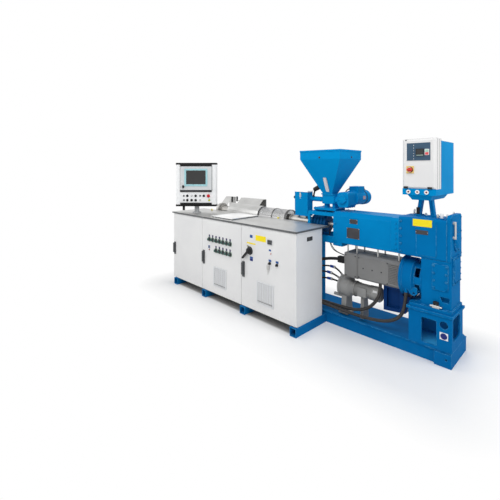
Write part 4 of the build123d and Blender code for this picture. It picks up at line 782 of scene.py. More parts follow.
for name, route in cordSettings.items():
    settings, points = cordKinds[name.split("_")[0]], route["points"]
    shortName = name.replace("_", "")
    curve = routeCurve(shortName + "Run", points)
    path = sampled(curve)
    if "ribbed" in settings:
        piece = ribbedTube(shortName + "Tube", curve, routeLength(path), settings["diameter"] / 2,
                           settings["ribbed"])
        bpy.data.objects.remove(curve)
        coat(piece, settings["finish"], angle=50)
    else:
        piece = curve
        piece.data.bevel_depth = settings["diameter"] / 2
        piece.data.bevel_resolution = 4
        piece.data.use_fill_caps = True
        piece.data.materials.append(finishes[settings["finish"]])
        extras = []
        if "coupling" in route:
            sleeve = sleeveOn(path, route["coupling"])
            sleeve.name = shortName + "Coupling"
            extras = [seat(sleeve, "frame")]
    seat(piece, "frame")
    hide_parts(name)
print("conduits, leads and hoses laid")


# Blocks, plates, caps and bolts used in many places

toFront, toTop, toRight, toLeft = (0, -1, 0), (0, 0, 1), (1, 0, 0), (-1, 0, 0)


def block(name, low, high, finish, edge=0.0, rings=2, rim=0.0, lift=0.0, side=(1, -1), rounded=None,
          tapers=()):
    # Edges along one axis are rounded first, then one side is stepped or sides are narrowed
    piece = addBlock(name, low, high)
    if rounded:
        axis, width, segments = rounded
        bevelEdges(piece, along(axis), width, segments)
    if rim:
        insetFaces(piece, facing(*side), rim, lift)
    for narrowed, size in tapers:
        scaleFaces(piece, facing(*narrowed), size)
    return coat(piece, finish, edge, rings)


def onFace(name, face, sides, depths, finish, rim=0.003, lift=0.0006, edge=0.0004, rings=1):
    # A stepped plate on a front face; depths are how far out it ends and where it starts
    (left, right, low, high), (out, start) = sides, depths
    return block(name, (left, face - out, low), (right, face - start, high), finish, edge, rings, rim, lift)


def ahead(place, face, near, far):
    # Two points in front of a face, for round pieces
    return (place[0], face - near, place[1]), (place[0], face - far, place[1])


def rod(name, start, end, radius, finish, edge=0.0, sides=24):
    return coat(addRod(name, start, end, radius, sides), finish, edge)


def domedCap(name, start, end, radius, finish, share=0.62, sides=24):
    start, end = Vector(start), Vector(end)
    run = (end - start).normalized()
    rise = min(radius * 0.3, (end - start).length * 0.5)
    cap = addRod(name, start, end - run * rise, radius, sides)
    pick(cap, lambda c, n: n.dot(run) > squareTo)
    bpy.ops.mesh.extrude_region_move(TRANSFORM_OT_translate={"value": run * rise})
    bpy.ops.transform.resize(value=(share, share, share))
    leave()
    return coat(cap, finish, radius * 0.08)


def collar(name, start, end, radius, bore, finish, depth=0.0015, sides=24):
    # A short round piece with a sunk end
    start, end = Vector(start), Vector(end)
    run = (end - start).normalized()
    ring = addRod(name, start, end, radius, sides)
    insetFaces(ring, lambda c, n: n.dot(run) > squareTo, radius - bore)
    pushFaces(ring, lambda c, n: n.dot(run) > squareTo and (c - end).length < bore * 0.5, -run * depth)
    return coat(ring, finish, min(0.0006, radius * 0.06), 1)


def boltRow(name, master, places):
    return seat(joinAll(copyTo(master, places), name), "frame")


def gridPlaces(rows):
    # A place at every crossing of the x, y and z values of each row
    return [((x, y, z), heading, turn) for xs, ys, zs, heading, turn in rows
            for x in xs for y in ys for z in zs]


# Perforated guards over the heated zones

guardSettings = {"spans": ((-1.0850, -0.8390), (-0.8360, -0.5900)), "radius": 0.1120, "centre": 1.0550,
                 "foot": 1.0615, "flange": 0.0132, "pitch": 0.0110, "web": 0.0014, "corner": 0.20,
                 "margin": 0.013, "sheet": 0.0012, "near": 0.001}


def heaterGuard(name, left, right):
    radius, centre, foot = guardSettings["radius"], guardSettings["centre"], guardSettings["foot"]
    pitch, margin, near = guardSettings["pitch"], guardSettings["margin"], guardSettings["near"]
    lean = math.asin((foot - centre) / radius)
    sweep = math.pi - 2 * lean
    edgeY = -radius * math.cos(lean)

    def spare(middle, run):
        return abs(run.x) < squareTo or middle.y > edgeY + near or middle.z > foot + near

    def lowerEdge(middle, run):
        return abs(run.x) > squareTo and middle.z < foot + near * 0.6 and middle.y * side > 0

    shell = addBlock(name, (left, edgeY, foot), (right, edgeY + 0.01, foot + 0.01))
    pick(shell, spare, "EDGE")
    bpy.ops.mesh.delete(type="EDGE")
    bpy.ops.mesh.select_all(action="SELECT")
    bpy.ops.mesh.subdivide(number_cuts=round((right - left) / pitch) - 1)
    bpy.ops.mesh.select_all(action="SELECT")
    bpy.ops.mesh.spin(steps=round(sweep * radius / pitch), angle=sweep, center=(0, 0, centre), axis=(1, 0, 0))
    leave()
    pick(shell, lambda c, n: left + margin < c.x < right - margin and c.z > foot + margin)
    bpy.ops.mesh.inset(thickness=guardSettings["web"], use_individual=True)
    bpy.ops.mesh.bevel(offset=pitch * guardSettings["corner"], affect="VERTICES")
    bpy.ops.mesh.select_all(action="DESELECT")
    bpy.ops.mesh.select_face_by_sides(number=8, type="EQUAL")
    bpy.ops.mesh.delete(type="FACE")
    leave()
    for side in (-1, 1):
        pick(shell, lowerEdge, "EDGE")
        outward = (0, side * guardSettings["flange"], 0)
        bpy.ops.mesh.extrude_region_move(TRANSFORM_OT_translate={"value": outward})
        leave()
    focus(shell)
    bpy.ops.object.mode_set(mode="EDIT")
    bpy.ops.mesh.select_all(action="SELECT")
    bpy.ops.mesh.normals_make_consistent(inside=False)
    leave()
    sheet = shell.modifiers.new("sheet", "SOLIDIFY")
    sheet.thickness = guardSettings["sheet"]
    sheet.offset = -1
    bpy.ops.object.modifier_apply(modifier=sheet.name)
    return coat(shell, "guardSteel", angle=30)


guardHalves = [heaterGuard("guardHalf", left, right) for left, right in guardSettings["spans"]]
heaterGuards = joinAll(guardHalves, "heaterGuards")
seat(heaterGuards, "frame")
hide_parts("heater_guards")
print("heater guards perforated")


# Console front: display door, bezel, screen and buttons

consoleSettings = {
    "axis": (-1.920, -0.530, 0), "turn": 45, "face": -0.075,
    "gasket": ((-0.231, -0.080, 1.388), (0.231, -0.0752, 1.736)),
    "door": ((-0.226, -0.089, 1.393), (0.226, -0.075, 1.731)),
    "bezel": ((-0.165, -0.093, 1.448), (0.165, -0.0865, 1.697)), "rim": 0.0250, "rise": 0.002,
    "sunk": 0.003, "outer": 0.16, "corner": 0.007,
    "screen": ((-0.140, -0.0905, 1.4745), (0.140, -0.0895, 1.6755)),
    "stop": (0.180, 1.310), "lamp": (0.190, 1.248), "lock": (-0.182, 1.440),
    "lockGrip": ((-0.1925, -0.106, 1.420), (-0.1715, -0.092, 1.462)),
    "buttons": {"black": ("barBlack", 0.0150), "small": ("greyPlastic", 0.0100),
                "clear": ("labelWhite", 0.0085)},
    "rows": {1.310: {-0.175: "small", -0.125: "black", -0.064: "clear", -0.006: "black", 0.058: "small",
                     0.111: "black"},
             1.248: {-0.175: "small", -0.125: "black", -0.064: "black", -0.006: "black", 0.058: "clear"}},
}


def pushButton(finish, radius):
    ring = collar("buttonRing", (0, 0, 0), (0, 0, 0.0035), radius + 0.003, radius + 0.0008, "barBlack")
    cap = domedCap("buttonCap", (0, 0, 0.001), (0, 0, 0.013), radius, finish, 0.8)
    return joinAll([ring, cap], "button")


def ontoConsole(piece):
    turned = Matrix.Rotation(math.radians(consoleSettings["turn"]), 4, "Z")
    piece.matrix_world = Matrix.Translation(consoleSettings["axis"]) @ turned @ piece.matrix_world
    return settle(piece)


bezel = addBlock("bezel", *consoleSettings["bezel"])
pick(bezel, facing(1, -1))
bpy.ops.mesh.inset(thickness=consoleSettings["rim"])
bpy.ops.transform.translate(value=(0, 0, consoleSettings["rise"]))
bpy.ops.mesh.extrude_region_move(TRANSFORM_OT_translate={"value": (0, consoleSettings["sunk"], 0)})
leave()
bevelEdges(bezel, lambda middle, run: abs(run.y) > squareTo and abs(middle.x) > consoleSettings["outer"],
           consoleSettings["corner"], 4)
consoleParts = [
    block("gasket", *consoleSettings["gasket"], "barBlack", 0.0008, 1, 0.002, -0.0004),
    block("consoleDoor", *consoleSettings["door"], "consolePaint", 0.0012, 2, 0.010, -0.0016),
    coat(bezel, "bezelCyan", 0.0006),
    block("screen", *consoleSettings["screen"], "screenGlass", 0.0004, 1, 0.004, 0.0003),
]
face = consoleSettings["face"]
for kind, (finish, radius) in consoleSettings["buttons"].items():
    places = [((x, face, z), toFront, 0) for z, row in consoleSettings["rows"].items()
              for x, wanted in row.items() if wanted == kind]
    consoleParts += copyTo(pushButton(finish, radius), places)
stop, lamp, lock = consoleSettings["stop"], consoleSettings["lamp"], consoleSettings["lock"]
consoleParts += [
    rod("stopNeck", *ahead(stop, face, 0, 0.020), 0.013, "blackPlastic", 0.001, 20),
    domedCap("stopHead", *ahead(stop, face, 0.017, 0.032), 0.0235, "signalRed", 0.75, 32),
    collar("lampRing", *ahead(lamp, face, 0, 0.005), 0.0150, 0.0110, "signalGreen"),
    domedCap("lampCap", *ahead(lamp, face, 0, 0.010), 0.0105, "labelYellow"),
    rod("lockFoot", *ahead(lock, face, 0.012, 0.018), 0.0165, "blackPlastic", 0.001),
    block("lockGrip", *consoleSettings["lockGrip"], "blackPlastic", 0.0015, rounded=(1, 0.008, 4)),
]
consoleFront = ontoConsole(joinAll(consoleParts, "consoleFront"))
seat(consoleFront, "console")
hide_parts("console_panels")
print("console front made")


# Drive control box: display plate, switch, latches, lamps, seams and a painted shadow line under the lid

boxSettings = {"front": -0.205, "shell": -0.1985, "leds": (0.977, (1.902, 1.878, 1.854, 1.829, 1.807, 1.781)),
               "switch": (0.946, 1.683), "lamps": ((0.929, 1.006, 1.083), 1.482)}
boxPlates = {
    "displayPlate": ((0.917, 1.116, 1.766, 1.923), (0.0020, -0.0005), "displayBlue", 0.003, 0.0005),
    "meter": ((0.996, 1.064, 1.803, 1.870), (0.0085, 0.0010), "blackPlastic", 0.006, -0.0035, 0.0012, 2),
    "meterGlass": ((1.001, 1.059, 1.8165, 1.8645), (0.0056, 0.0045), "screenGlass", 0.002, 0.0002),
    "meterFoot": ((1.001, 1.059, 1.8085, 1.8155), (0.0058, 0.0045), "lcdGrey", 0.0012, 0.0003),
    "pushPair": ((1.071, 1.107, 1.811, 1.865), (0.0060, 0.0010), "labelWhite", 0.003, -0.001, 0.0008, 1),
    "pushStart": ((1.0755, 1.1025, 1.8395, 1.8605), (0.0085, 0.0040), "paleGreen", 0.002),
    "pushStop": ((1.0755, 1.1025, 1.8150, 1.8360), (0.0085, 0.0040), "softRed", 0.002),
    "switchPlate": ((0.913, 0.979, 1.650, 1.716), (0.0035, 0.0005), "agedYellow", 0.004, 0.0008),
    "latchLeft": ((0.888, 0.924, 1.5125, 1.5295), (0.0005, -0.0065), "blackPlastic",
                  0.0035, -0.002, 0.001, 2),
    "latchRight": ((1.092, 1.128, 1.5125, 1.5295), (0.0005, -0.0065), "blackPlastic",
                   0.0035, -0.002, 0.001, 2),
}
# The top strip is painted shadow: a dark line under the lid's overhang
boxSeams = {"lidShadowLine": ((0.892, -0.1835, 1.9592), (1.138, -0.1800, 1.9618)),
            "seamClip": ((0.898, -0.1975, 1.9440), (0.912, -0.1850, 1.9560)),
            "seamFront": ((1.1565, -0.1535, 1.514), (1.1578, -0.1505, 1.957)),
            "seamRear": ((1.1565, -0.0995, 1.514), (1.1578, -0.0965, 1.957)),
            "hoodSeam": ((0.8722, -0.0570, 1.511), (1.1578, -0.0540, 1.9618))}
front, shell = boxSettings["front"], boxSettings["shell"]
boxParts = [onFace(name, front, *sizes) for name, sizes in boxPlates.items()]
ledX, ledHeights = boxSettings["leds"]
led = domedCap("led", (0, 0, 0), (0, 0, 0.0022), 0.0030, "labelWhite", 0.7, 12)
boxParts += copyTo(led, [((ledX, front - 0.0021, z), toFront, 0) for z in ledHeights])
switchX, switchZ = switch = boxSettings["switch"]
boxParts += [
    collar("switchRing", *ahead(switch, front, 0.002, 0.0065), 0.0265, 0.0230, "barBlack"),
    domedCap("switchDisc", *ahead(switch, front, 0.002, 0.0175), 0.0215, "agedRed", 0.9, 32),
    block("switchGrip", (switchX - 0.0250, front - 0.0305, switchZ - 0.0085),
          (switchX + 0.0250, front - 0.0150, switchZ + 0.0085), "agedRed", 0.0015,
          tapers=[((1, -1), (0.86, 1, 0.55))]),
]
lampRow, lampZ = boxSettings["lamps"]
for lampX in lampRow:
    boxParts += [
        collar("lampBezel", *ahead((lampX, lampZ), shell, 0, 0.006), 0.0185, 0.0085, "labelWhite", 0.002),
        domedCap("lampLens", *ahead((lampX, lampZ), shell, 0.0015, 0.0075), 0.0080, "dullRed")]
for name, (low, high) in boxSeams.items():
    boxParts.append(block(name, low, high, "greyPlastic", 0.0003, 1, 0.0004, 0.0002, (0, 1)))
seat(joinAll(boxParts, "controlDressing"), "frame")
print("control box dressed")


# Doors: legend plates, lamps, selectors, key, counter, knob dials and switch plate

doorSettings = {"face": -0.700, "knobs": {0.777: 7, 0.650: 5}, "lastKnob": -0.983, "pitch": 0.069,
                "dialTurns": (-60, 35),
                "switch": (-0.638, 0.757), "tagRise": 0.045, "selectors": ((-0.326, 0.672), (-0.223, 0.674)),
                "counter": (-0.357, -0.295, 0.877, 0.924), "windows": (0.8840, 0.9025)}
rightLegends = [((-0.637, -0.593, 0.906, 0.940), "labelBlue"),
                ((-0.625, -0.593, 0.889, 0.9045), "labelWhite"),
                ((-0.545, -0.388, 0.887, 0.949), "labelYellow"),
                ((-0.687, -0.545, 0.835, 0.850), "labelYellow"),
                ((-0.342, -0.310, 0.802, 0.822), "labelBlue"), ((-0.637, -0.588, 0.671, 0.692), "labelBlue"),
                ((-0.637, -0.588, 0.643, 0.6695), "deepLabel")]
doorFace = doorSettings["face"]


def doorPlate(sides, finish, proud=0.0016):
    return onFace("legend", doorFace, sides, (proud, -0.0002), finish, 0.0018, 0.0003)


def doorLamp(x, z, finish, radius):
    return [collar("lampRing", *ahead((x, z), doorFace, 0, 0.004), radius + 0.003, radius, "zincSteel"),
            domedCap("lampLens", *ahead((x, z), doorFace, 0, 0.009), radius, finish)]


def selector(x, z):
    return [collar("selectorRing", *ahead((x, z), doorFace, 0, 0.006), 0.0160, 0.0125, "blackPlastic"),
            domedCap("selectorKnob", *ahead((x, z), doorFace, 0.003, 0.022), 0.0120, "blackPlastic", 0.9),
            block("selectorGrip", (x - 0.0035, doorFace - 0.030, z - 0.0125),
                  (x + 0.0035, doorFace - 0.018, z + 0.0125), "blackPlastic", 0.001,
                  tapers=[((1, -1), (0.7, 1, 0.85))]),
            doorPlate((x - 0.019, x + 0.019, z + 0.018, z + 0.040), "labelBlue")]


knobMaster = joinAll([
    collar("dial", (0, 0, 0), (0, 0, 0.0022), 0.0325, 0.0270, "dialGreen", 0.0008, 32),
    collar("knobCap", (0, 0, 0.0255), (0, 0, 0.0290), 0.0165, 0.0125, "knobGreen", 0.0012),
    block("pointer", (-0.0016, 0.006, 0.0262), (0.0016, 0.021, 0.0272), "labelWhite", 0.0002, 1, 0.0006,
          0.0002, (2, 1))], "knobMaster")
lastKnob, knobPitch, (firstTurn, turnEach) = (doorSettings[key] for key in ("lastKnob", "pitch", "dialTurns"))
knobPlaces = [((lastKnob - knobPitch * step, doorFace, z), toFront, firstTurn + turnEach * step)
              for z, count in doorSettings["knobs"].items() for step in range(count)]
knobTag = block("knobTag", (-0.013, -0.014, 0), (0.013, 0.014, 0.0016), "labelViolet", 0.0004, 1, 0.0018,
                0.0003, (2, 1))
tagPlaces = [((x, y, z + doorSettings["tagRise"]), heading, 0) for (x, y, z), heading, turn in knobPlaces]
middleParts = copyTo(knobMaster, knobPlaces) + copyTo(knobTag, tagPlaces)
middleParts += [doorPlate((-1.421, -1.384, 0.660, 0.694), "labelBlue"),
                *doorLamp(-1.400, 0.676, "barBlack", 0.0095), *doorLamp(-1.397, 0.641, "dullRed", 0.0095)]
seat(joinAll(middleParts, "middleDressing"), "door_middle")

switchX, switchZ = switch = doorSettings["switch"]
rightParts = [
    collar("escutcheon", *ahead(switch, doorFace, 0, 0.004), 0.0475, 0.0405, "blackPlastic", 0.001, 40),
    doorPlate((switchX - 0.045, switchX - 0.018, switchZ + 0.041, switchZ + 0.053), "oliveGrey", 0.003),
    onFace("counter", doorFace, doorSettings["counter"], (0.011, -0.0002), "greyPlastic", 0.005, -0.002,
           0.0012, 2),
    rod("keyBarrel", *ahead((-0.326, 0.671), doorFace, 0.028, 0.036), 0.006, "zincSteel", 0.0006, 16),
    coat(addRing("keyRing", (-0.329, doorFace - 0.0345, 0.655), (0.3, 1, 0), 0.0125, 0.0011, 24, 8),
         "zincSteel"),
    block("keyTag", (-0.365, doorFace - 0.0120, 0.598), (-0.331, doorFace - 0.0085, 0.646), "zincSteel",
          0.0006, 1, rounded=(1, 0.007, 3)),
    block("keyBlade", (-0.352, doorFace - 0.0110, 0.548), (-0.344, doorFace - 0.0090, 0.602), "zincSteel",
          0.0004, 1, tapers=[((2, -1), (0.5, 1, 1))]),
    rod("keyLink", (-0.331, doorFace - 0.034, 0.645), (-0.345, doorFace - 0.011, 0.640), 0.0014, "zincSteel",
        0.0003, 10),
    *doorLamp(-0.310, 0.777, "signalRed", 0.0060),
]
rightParts += [onFace("counterWindow", doorFace, (-0.350, -0.302, z, z + 0.0155), (0.0102, 0.0085),
                      "screenGlass", 0.0012, 0.0002) for z in doorSettings["windows"]]
rightParts += [doorPlate(sides, finish) for sides, finish in rightLegends]
for x, z in doorSettings["selectors"]:
    rightParts += selector(x, z)
seat(joinAll(rightParts, "rightDressing"), "door_right")

# The ribs' grey is painted shade of the slots between the grille bars, and the dark strip low down is painted
# shade in the bottom slot
grilleSettings = {"doors": {"door_middle": -1.180, "door_right": -0.395}, "z": 0.318, "half": 0.108,
                  "ribs": 6, "width": 0.006, "past": 0.004, "slot": (0.010, 0.018)}
half, middleZ, past = grilleSettings["half"], grilleSettings["z"], grilleSettings["past"]
for doorName, middleX in grilleSettings["doors"].items():
    slotLow, slotHigh = (middleZ - half + rise for rise in grilleSettings["slot"])
    slotSides = (middleX - half - past / 2, middleX + half + past / 2, slotLow, slotHigh)
    parts = []
    for step in range(grilleSettings["ribs"]):
        ribX = middleX - half + 2 * half * (step + 0.5) / grilleSettings["ribs"]
        sides = (ribX - grilleSettings["width"] / 2, ribX + grilleSettings["width"] / 2,
                 middleZ - half - past, middleZ + half + past)
        parts.append(onFace("grilleRib", doorFace, sides, (0.0096, 0.0072), "grilleGrey", 0.0012, 0.0004))
    parts.append(onFace("grilleSlot", doorFace, slotSides, (0.0105, 0.0080), "grilleSlotShade", 0.0012, -0.0006))
    seat(joinAll(parts, "grilleRibs"), doorName)
print("doors dressed")


# Cabinet end louvre, table edge, loose cover's edge and the small table parts

cabinetSettings = {"end": 0.030, "louvre": ((-0.519, 0.935), (-0.421, 0.977)), "slats": 3,
                   "table": ((-2.300, -0.710), (0.040, -0.118)), "tableZ": (1.041, 1.0585),
                   "cover": ((-1.400, -0.655), (-1.000, -0.200)), "coverZ": (1.0605, 1.0715),
                   "edgeProud": 0.0009, "edgeSunk": 0.0005,
                   "edgeLook": ("edgeGrey", 0.0003, 1, 0.0015, -0.0003)}
(louvreNear, louvreLow), (louvreFar, louvreHigh) = cabinetSettings["louvre"]
endX = cabinetSettings["end"]
louvreParts = [block("louvreBack", (endX - 0.006, louvreNear, louvreLow),
                     (endX + 0.0006, louvreFar, louvreHigh), "blackPlastic", 0.0006, 1, 0.004, -0.004,
                     (0, 1))]
for step in range(cabinetSettings["slats"]):
    middle = louvreNear + (louvreFar - louvreNear) * (step + 1) / (cabinetSettings["slats"] + 1)
    louvreParts.append(block("slat", (endX - 0.004, middle - 0.0035, louvreLow + 0.003),
                             (endX + 0.001, middle + 0.0035, louvreHigh - 0.003), "greyPlastic", 0.0006, 1,
                             tapers=[((0, 1), (1, 0.5, 0.96))]))
seat(joinAll(louvreParts, "endLouvre"), "frame")


def edgeStrip(name, corners, heights):
    # Painted reflection: a dark strip along the front and the right end of a sheet, for the dark reflection
    # on its edge
    ((left, near), (right, rear)), (low, high) = corners, heights
    proud, sunk, look = (cabinetSettings[key] for key in ("edgeProud", "edgeSunk", "edgeLook"))
    strips = [block(name, (left, near - proud, low), (right + proud, near + sunk, high), *look),
              block(name, (right - sunk, near, low), (right + proud, rear, high), *look, (0, 1))]
    return seat(joinAll(strips, name), "frame")


edgeStrip("tableEdge", cabinetSettings["table"], cabinetSettings["tableZ"])
edgeStrip("coverEdge", cabinetSettings["cover"], cabinetSettings["coverZ"])

gripSettings = {"grips": ((-2.093, 1.191, 0.046), (-1.970, 1.206, 0.040)), "y": 0.300, "taper": (0.8, 0.8, 1),
                "arms": (((-2.104, 0.300, 1.180), (-2.093, 0.300, 1.180)),
                         ((-1.970, 0.300, 1.190), (-1.896, 0.300, 1.175))),
                "marks": (((-0.712, -0.125, 1.060), 0.018, 0.009), ((-2.004, -0.193, 1.060), 0.022, 0.010))}
gripY = gripSettings["y"]
gripParts = [block("grip", (x - 0.012, gripY - 0.016, z - tall), (x + 0.012, gripY + 0.016, z + tall),
                   "blackPlastic", 0.004, 3, tapers=[((2, end), gripSettings["taper"]) for end in (1, -1)])
             for x, z, tall in gripSettings["grips"]]
gripParts += [rod("gripArm", *ends, 0.006, "zincSteel", 0.0008, 12) for ends in gripSettings["arms"]]
clampArm = addBlock("clampArm", (-2.094, 0.190, 1.068), (-2.020, 0.208, 1.084))
pushFaces(clampArm, facing(0), (0.040, 0, 0.030))
gripParts += [block("clampBase", (-2.100, 0.176, 1.0602), (-2.040, 0.224, 1.0700), "plateDark", 0.001,
                    rounded=(2, 0.010, 3)), coat(clampArm, "blackPlastic", 0.003)]
seat(joinAll(gripParts, "guardGrips"), "frame")
tableMarks = [domedCap("tableMark", (x, y, z), (x, y, z + tall), radius, "labelYellow")
              for (x, y, z), tall, radius in gripSettings["marks"]]
seat(joinAll(tableMarks, "tableMarks"), "frame")
print("cabinet end, table and guards dressed")


# Feeder: sight glass, sensor, latch, side knob, bolts and motor strap

feederSettings = {"slope": 23.1, "sight": (-0.004, -0.1075, 1.515), "half": (0.022, 0.089),
                  "rimBolts": [((-0.016, -0.228, 1.819), toFront, 10), ((0.242, 0.012, 1.821), toRight, 10)],
                  "wallTurn": 27.2, "sensorFoot": (-0.123, -0.040, 1.492), "sensorReach": 0.100,
                  "sensorGrips": (0.25, 0.42, 0.59), "dropEnd": (-0.232, -0.030, 1.366),
                  "motor": (0.200, 1.362)}
wide, tall = feederSettings["half"]
sight = joinAll([
    block("sightFrame", (-wide, -0.006, -tall), (wide, 0.001, tall), "zincSteel", 0.0008, 1, 0.006, -0.0025,
          rounded=(1, 0.014, 5)),
    block("sightPane", (-wide + 0.008, -0.0048, -tall + 0.010), (wide - 0.008, -0.0030, tall - 0.010),
          "sightPane", 0.0004, 1, 0.002, 0.0003)], "sightGlass")
sight.matrix_world = (Matrix.Translation(feederSettings["sight"])
                      @ Matrix.Rotation(math.radians(feederSettings["slope"]), 4, "X"))
seat(settle(sight), "frame")
boltRow("rimBolts", hexBolt(*boltSizes["rim"], "plateDark"), feederSettings["rimBolts"])

wallTurn = math.radians(feederSettings["wallTurn"])
outward = Vector((-math.cos(wallTurn), 0, -math.sin(wallTurn)))
foot, reach = Vector(feederSettings["sensorFoot"]), feederSettings["sensorReach"]
tip, dropEnd = foot + outward * reach, Vector(feederSettings["dropEnd"])
sensorParts = [
    collar("sensorFoot", foot - outward * 0.002, foot + outward * 0.008, 0.033, 0.028, "blackPlastic"),
    rod("sensorBody", foot, tip, 0.0260, "blackPlastic", 0.003, 28),
    domedCap("sensorEnd", tip - outward * 0.004, tip + outward * 0.012, 0.0165, "greyPlastic"),
    rod("sensorDrop", tip + Vector((0.004, 0, -0.012)), dropEnd, 0.0095, "rubberBlack", 0.001, 18),
    collar("sensorSeat", dropEnd, dropEnd + Vector((0, 0, 0.010)), 0.0150, 0.0100, "blackPlastic"),
]
for share in feederSettings["sensorGrips"]:
    grip = addRing("sensorGrip", foot + outward * reach * share, outward, 0.0258, 0.0022, 28, 8)
    sensorParts.append(coat(grip, "rubberBlack"))
seat(joinAll(sensorParts, "hopperSensor"), "frame")

latchParts = [
    block("latchPlate", (-0.402, -0.0832, 1.351), (-0.380, -0.0795, 1.398), "zincSteel", 0.0006,
          rim=0.003, lift=0.001),
    block("latchBow", (-0.3965, -0.0880, 1.372), (-0.3855, -0.0828, 1.4125), "zincSteel", 0.001,
          tapers=[((1, -1), (0.7, 1, 0.85))]),
    domedCap("latchScrew", (-0.391, -0.080, 1.338), (-0.391, -0.0855, 1.338), 0.0055, "labelWhite")]
seat(joinAll(latchParts, "inletLatch"), "frame")
knobSettings = {"centre": (-0.030, 1.340), "foot": (-0.4755, -0.484), "stem": (-0.480, -0.498),
                "head": (-0.494, -0.522)}
knobFoot, knobStem, knobHead = ([(x, *knobSettings["centre"]) for x in knobSettings[part]]
                                for part in ("foot", "stem", "head"))
knobParts = [collar("knobFoot", *knobFoot, 0.020, 0.013, "zincSteel"),
             rod("knobStem", *knobStem, 0.007, "zincSteel", 0.0006, 16),
             domedCap("knobHead", *knobHead, 0.019, "blackPlastic", 0.8)]
seat(joinAll(knobParts, "inletKnob"), "frame")

dosingBolts = gridPlaces([((-0.165, -0.034, 0.097), (-0.088, 0.088), (1.2462,), toTop, 20),
                          ((-0.089, 0.049), (-0.060, 0.060), (1.4032,), toTop, 10),
                          ((-0.082, 0.055), (-0.0585,), (1.306, 1.381), toFront, 0)])
dosingBolts += circlePlaces((0.200, -0.122, 1.362), toFront, 0.040, 6, 15)
boltRow("dosingBolts", hexBolt(*boltSizes["dosing"]), dosingBolts)
motorX, motorZ = feederSettings["motor"]
strapRing = addRod("motorStrap", (motorX, 0.296, motorZ), (motorX, 0.310, motorZ), 0.0822, 56)
insetFaces(strapRing, lambda c, n: abs(n.y) > squareTo, 0.002, 0.0004)
motorParts = [
    coat(strapRing, "blackPlastic", 0.0008, 1),
    block("motorPlate", (0.2790, 0.205, 1.345), (0.2812, 0.262, 1.383), "platePink", 0.0004, 1, 0.002, 0.0003,
          (0, 1)),
    block("motorBoxLid", (0.1425, 0.1305, 1.4820), (0.2575, 0.2895, 1.4912), "bluePaint", 0.0015, 2, 0.010,
          0.0015, (2, 1), rounded=(2, 0.015, 4)),
    collar("gland", (0.1440, 0.165, 1.462), (0.128, 0.165, 1.462), 0.0125, 0.0080, "blackPlastic"),
    rod("glandLead", (0.130, 0.165, 1.462), (0.106, 0.150, 1.446), 0.0060, "rubberBlack", 0.001, 14),
    rod("glandDrop", (0.108, 0.1515, 1.4475), (0.096, 0.110, 1.404), 0.0060, "rubberBlack", 0.001, 14),
    collar("rearGland", (0.236, 0.288, 1.466), (0.236, 0.302, 1.466), 0.0125, 0.0080, "blackPlastic"),
    rod("rearLead", (0.236, 0.300, 1.466), (0.240, 0.330, 1.446), 0.0055, "rubberBlack", 0.001, 14)]
seat(joinAll(motorParts, "feederMotorDressing"), "frame")
print("feeder dressed")


# Gearbox, housing and pedestal: bolts, plates, breathers, valve handle and sign

gearSettings = {"end": 1.2650, "cover": (-0.024, 0.806), "coverSize": (0.222, 0.236), "coverFace": 1.2750,
                "coverRows": (-0.445, -0.22, 0, 0.22, 0.445), "coverColumns": (-0.22, 0.0, 0.22),
                "panel": (1.180, 0.746), "panelSize": (0.126, 0.226), "panelFace": -0.1692,
                "panelRows": (-0.42, -0.14, 0.14, 0.42), "foot": 0.4752, "upper": -0.1772, "housing": -0.1652}
coverY, coverZ = gearSettings["cover"]
coverWide, coverTall = gearSettings["coverSize"]
coverBolts = gridPlaces([
    ((gearSettings["coverFace"],), [coverY + side * (coverWide / 2 - 0.012) for side in (-1, 1)],
     [coverZ + coverTall * share for share in gearSettings["coverRows"]], toRight, 8),
    ((gearSettings["coverFace"],), [coverY + coverWide * share for share in gearSettings["coverColumns"]],
     [coverZ + side * (coverTall / 2 - 0.011) for side in (-1, 1)], toRight, 8),
    ((gearSettings["end"],), (-0.150,), (0.930, 1.255), toRight, 12),
    ((gearSettings["end"],), (0.135,), (0.930, 1.130, 1.255), toRight, 12)])
coverBolts += circlePlaces((1.2770, 0.0, 1.0550), toRight, 0.0835, 8, 10)
boltRow("coverBolts", hexBolt(*boltSizes["cover"], "castPaint"), coverBolts)
panelX, panelZ = gearSettings["panel"]
panelWide, panelTall = gearSettings["panelSize"]
panelBolts = gridPlaces([
    ([panelX + side * (panelWide / 2 - 0.013) for side in (-1, 1)], (gearSettings["panelFace"],),
     [panelZ + panelTall * share for share in gearSettings["panelRows"]], toFront, 5),
    ((0.945, 1.075, 1.255), (-0.174, 0.134), (gearSettings["foot"],), toTop, 12),
    ((0.848,), (-0.1748,), (0.925, 0.995, 1.065, 1.135, 1.205), toFront, 7)])
boltRow("panelBolts", hexBolt(*boltSizes["panel"], "castPaint"), panelBolts)
flangeBolts = gridPlaces([((0.804,), (-0.1735,), (0.936, 0.983, 1.031, 1.078, 1.126, 1.173), toFront, 9),
                          ((0.150,), (gearSettings["housing"],), (0.900, 1.000, 1.100), toFront, 9),
                          ((0.160, 0.240), (-0.090, 0.090), (1.2252,), toTop, 9),
                          ((-0.205, 0.000, 0.095), (-0.122, 0.122), (1.2032,), toTop, 9)])
boltRow("flangeBolts", hexBolt(*boltSizes["flange"]), flangeBolts)

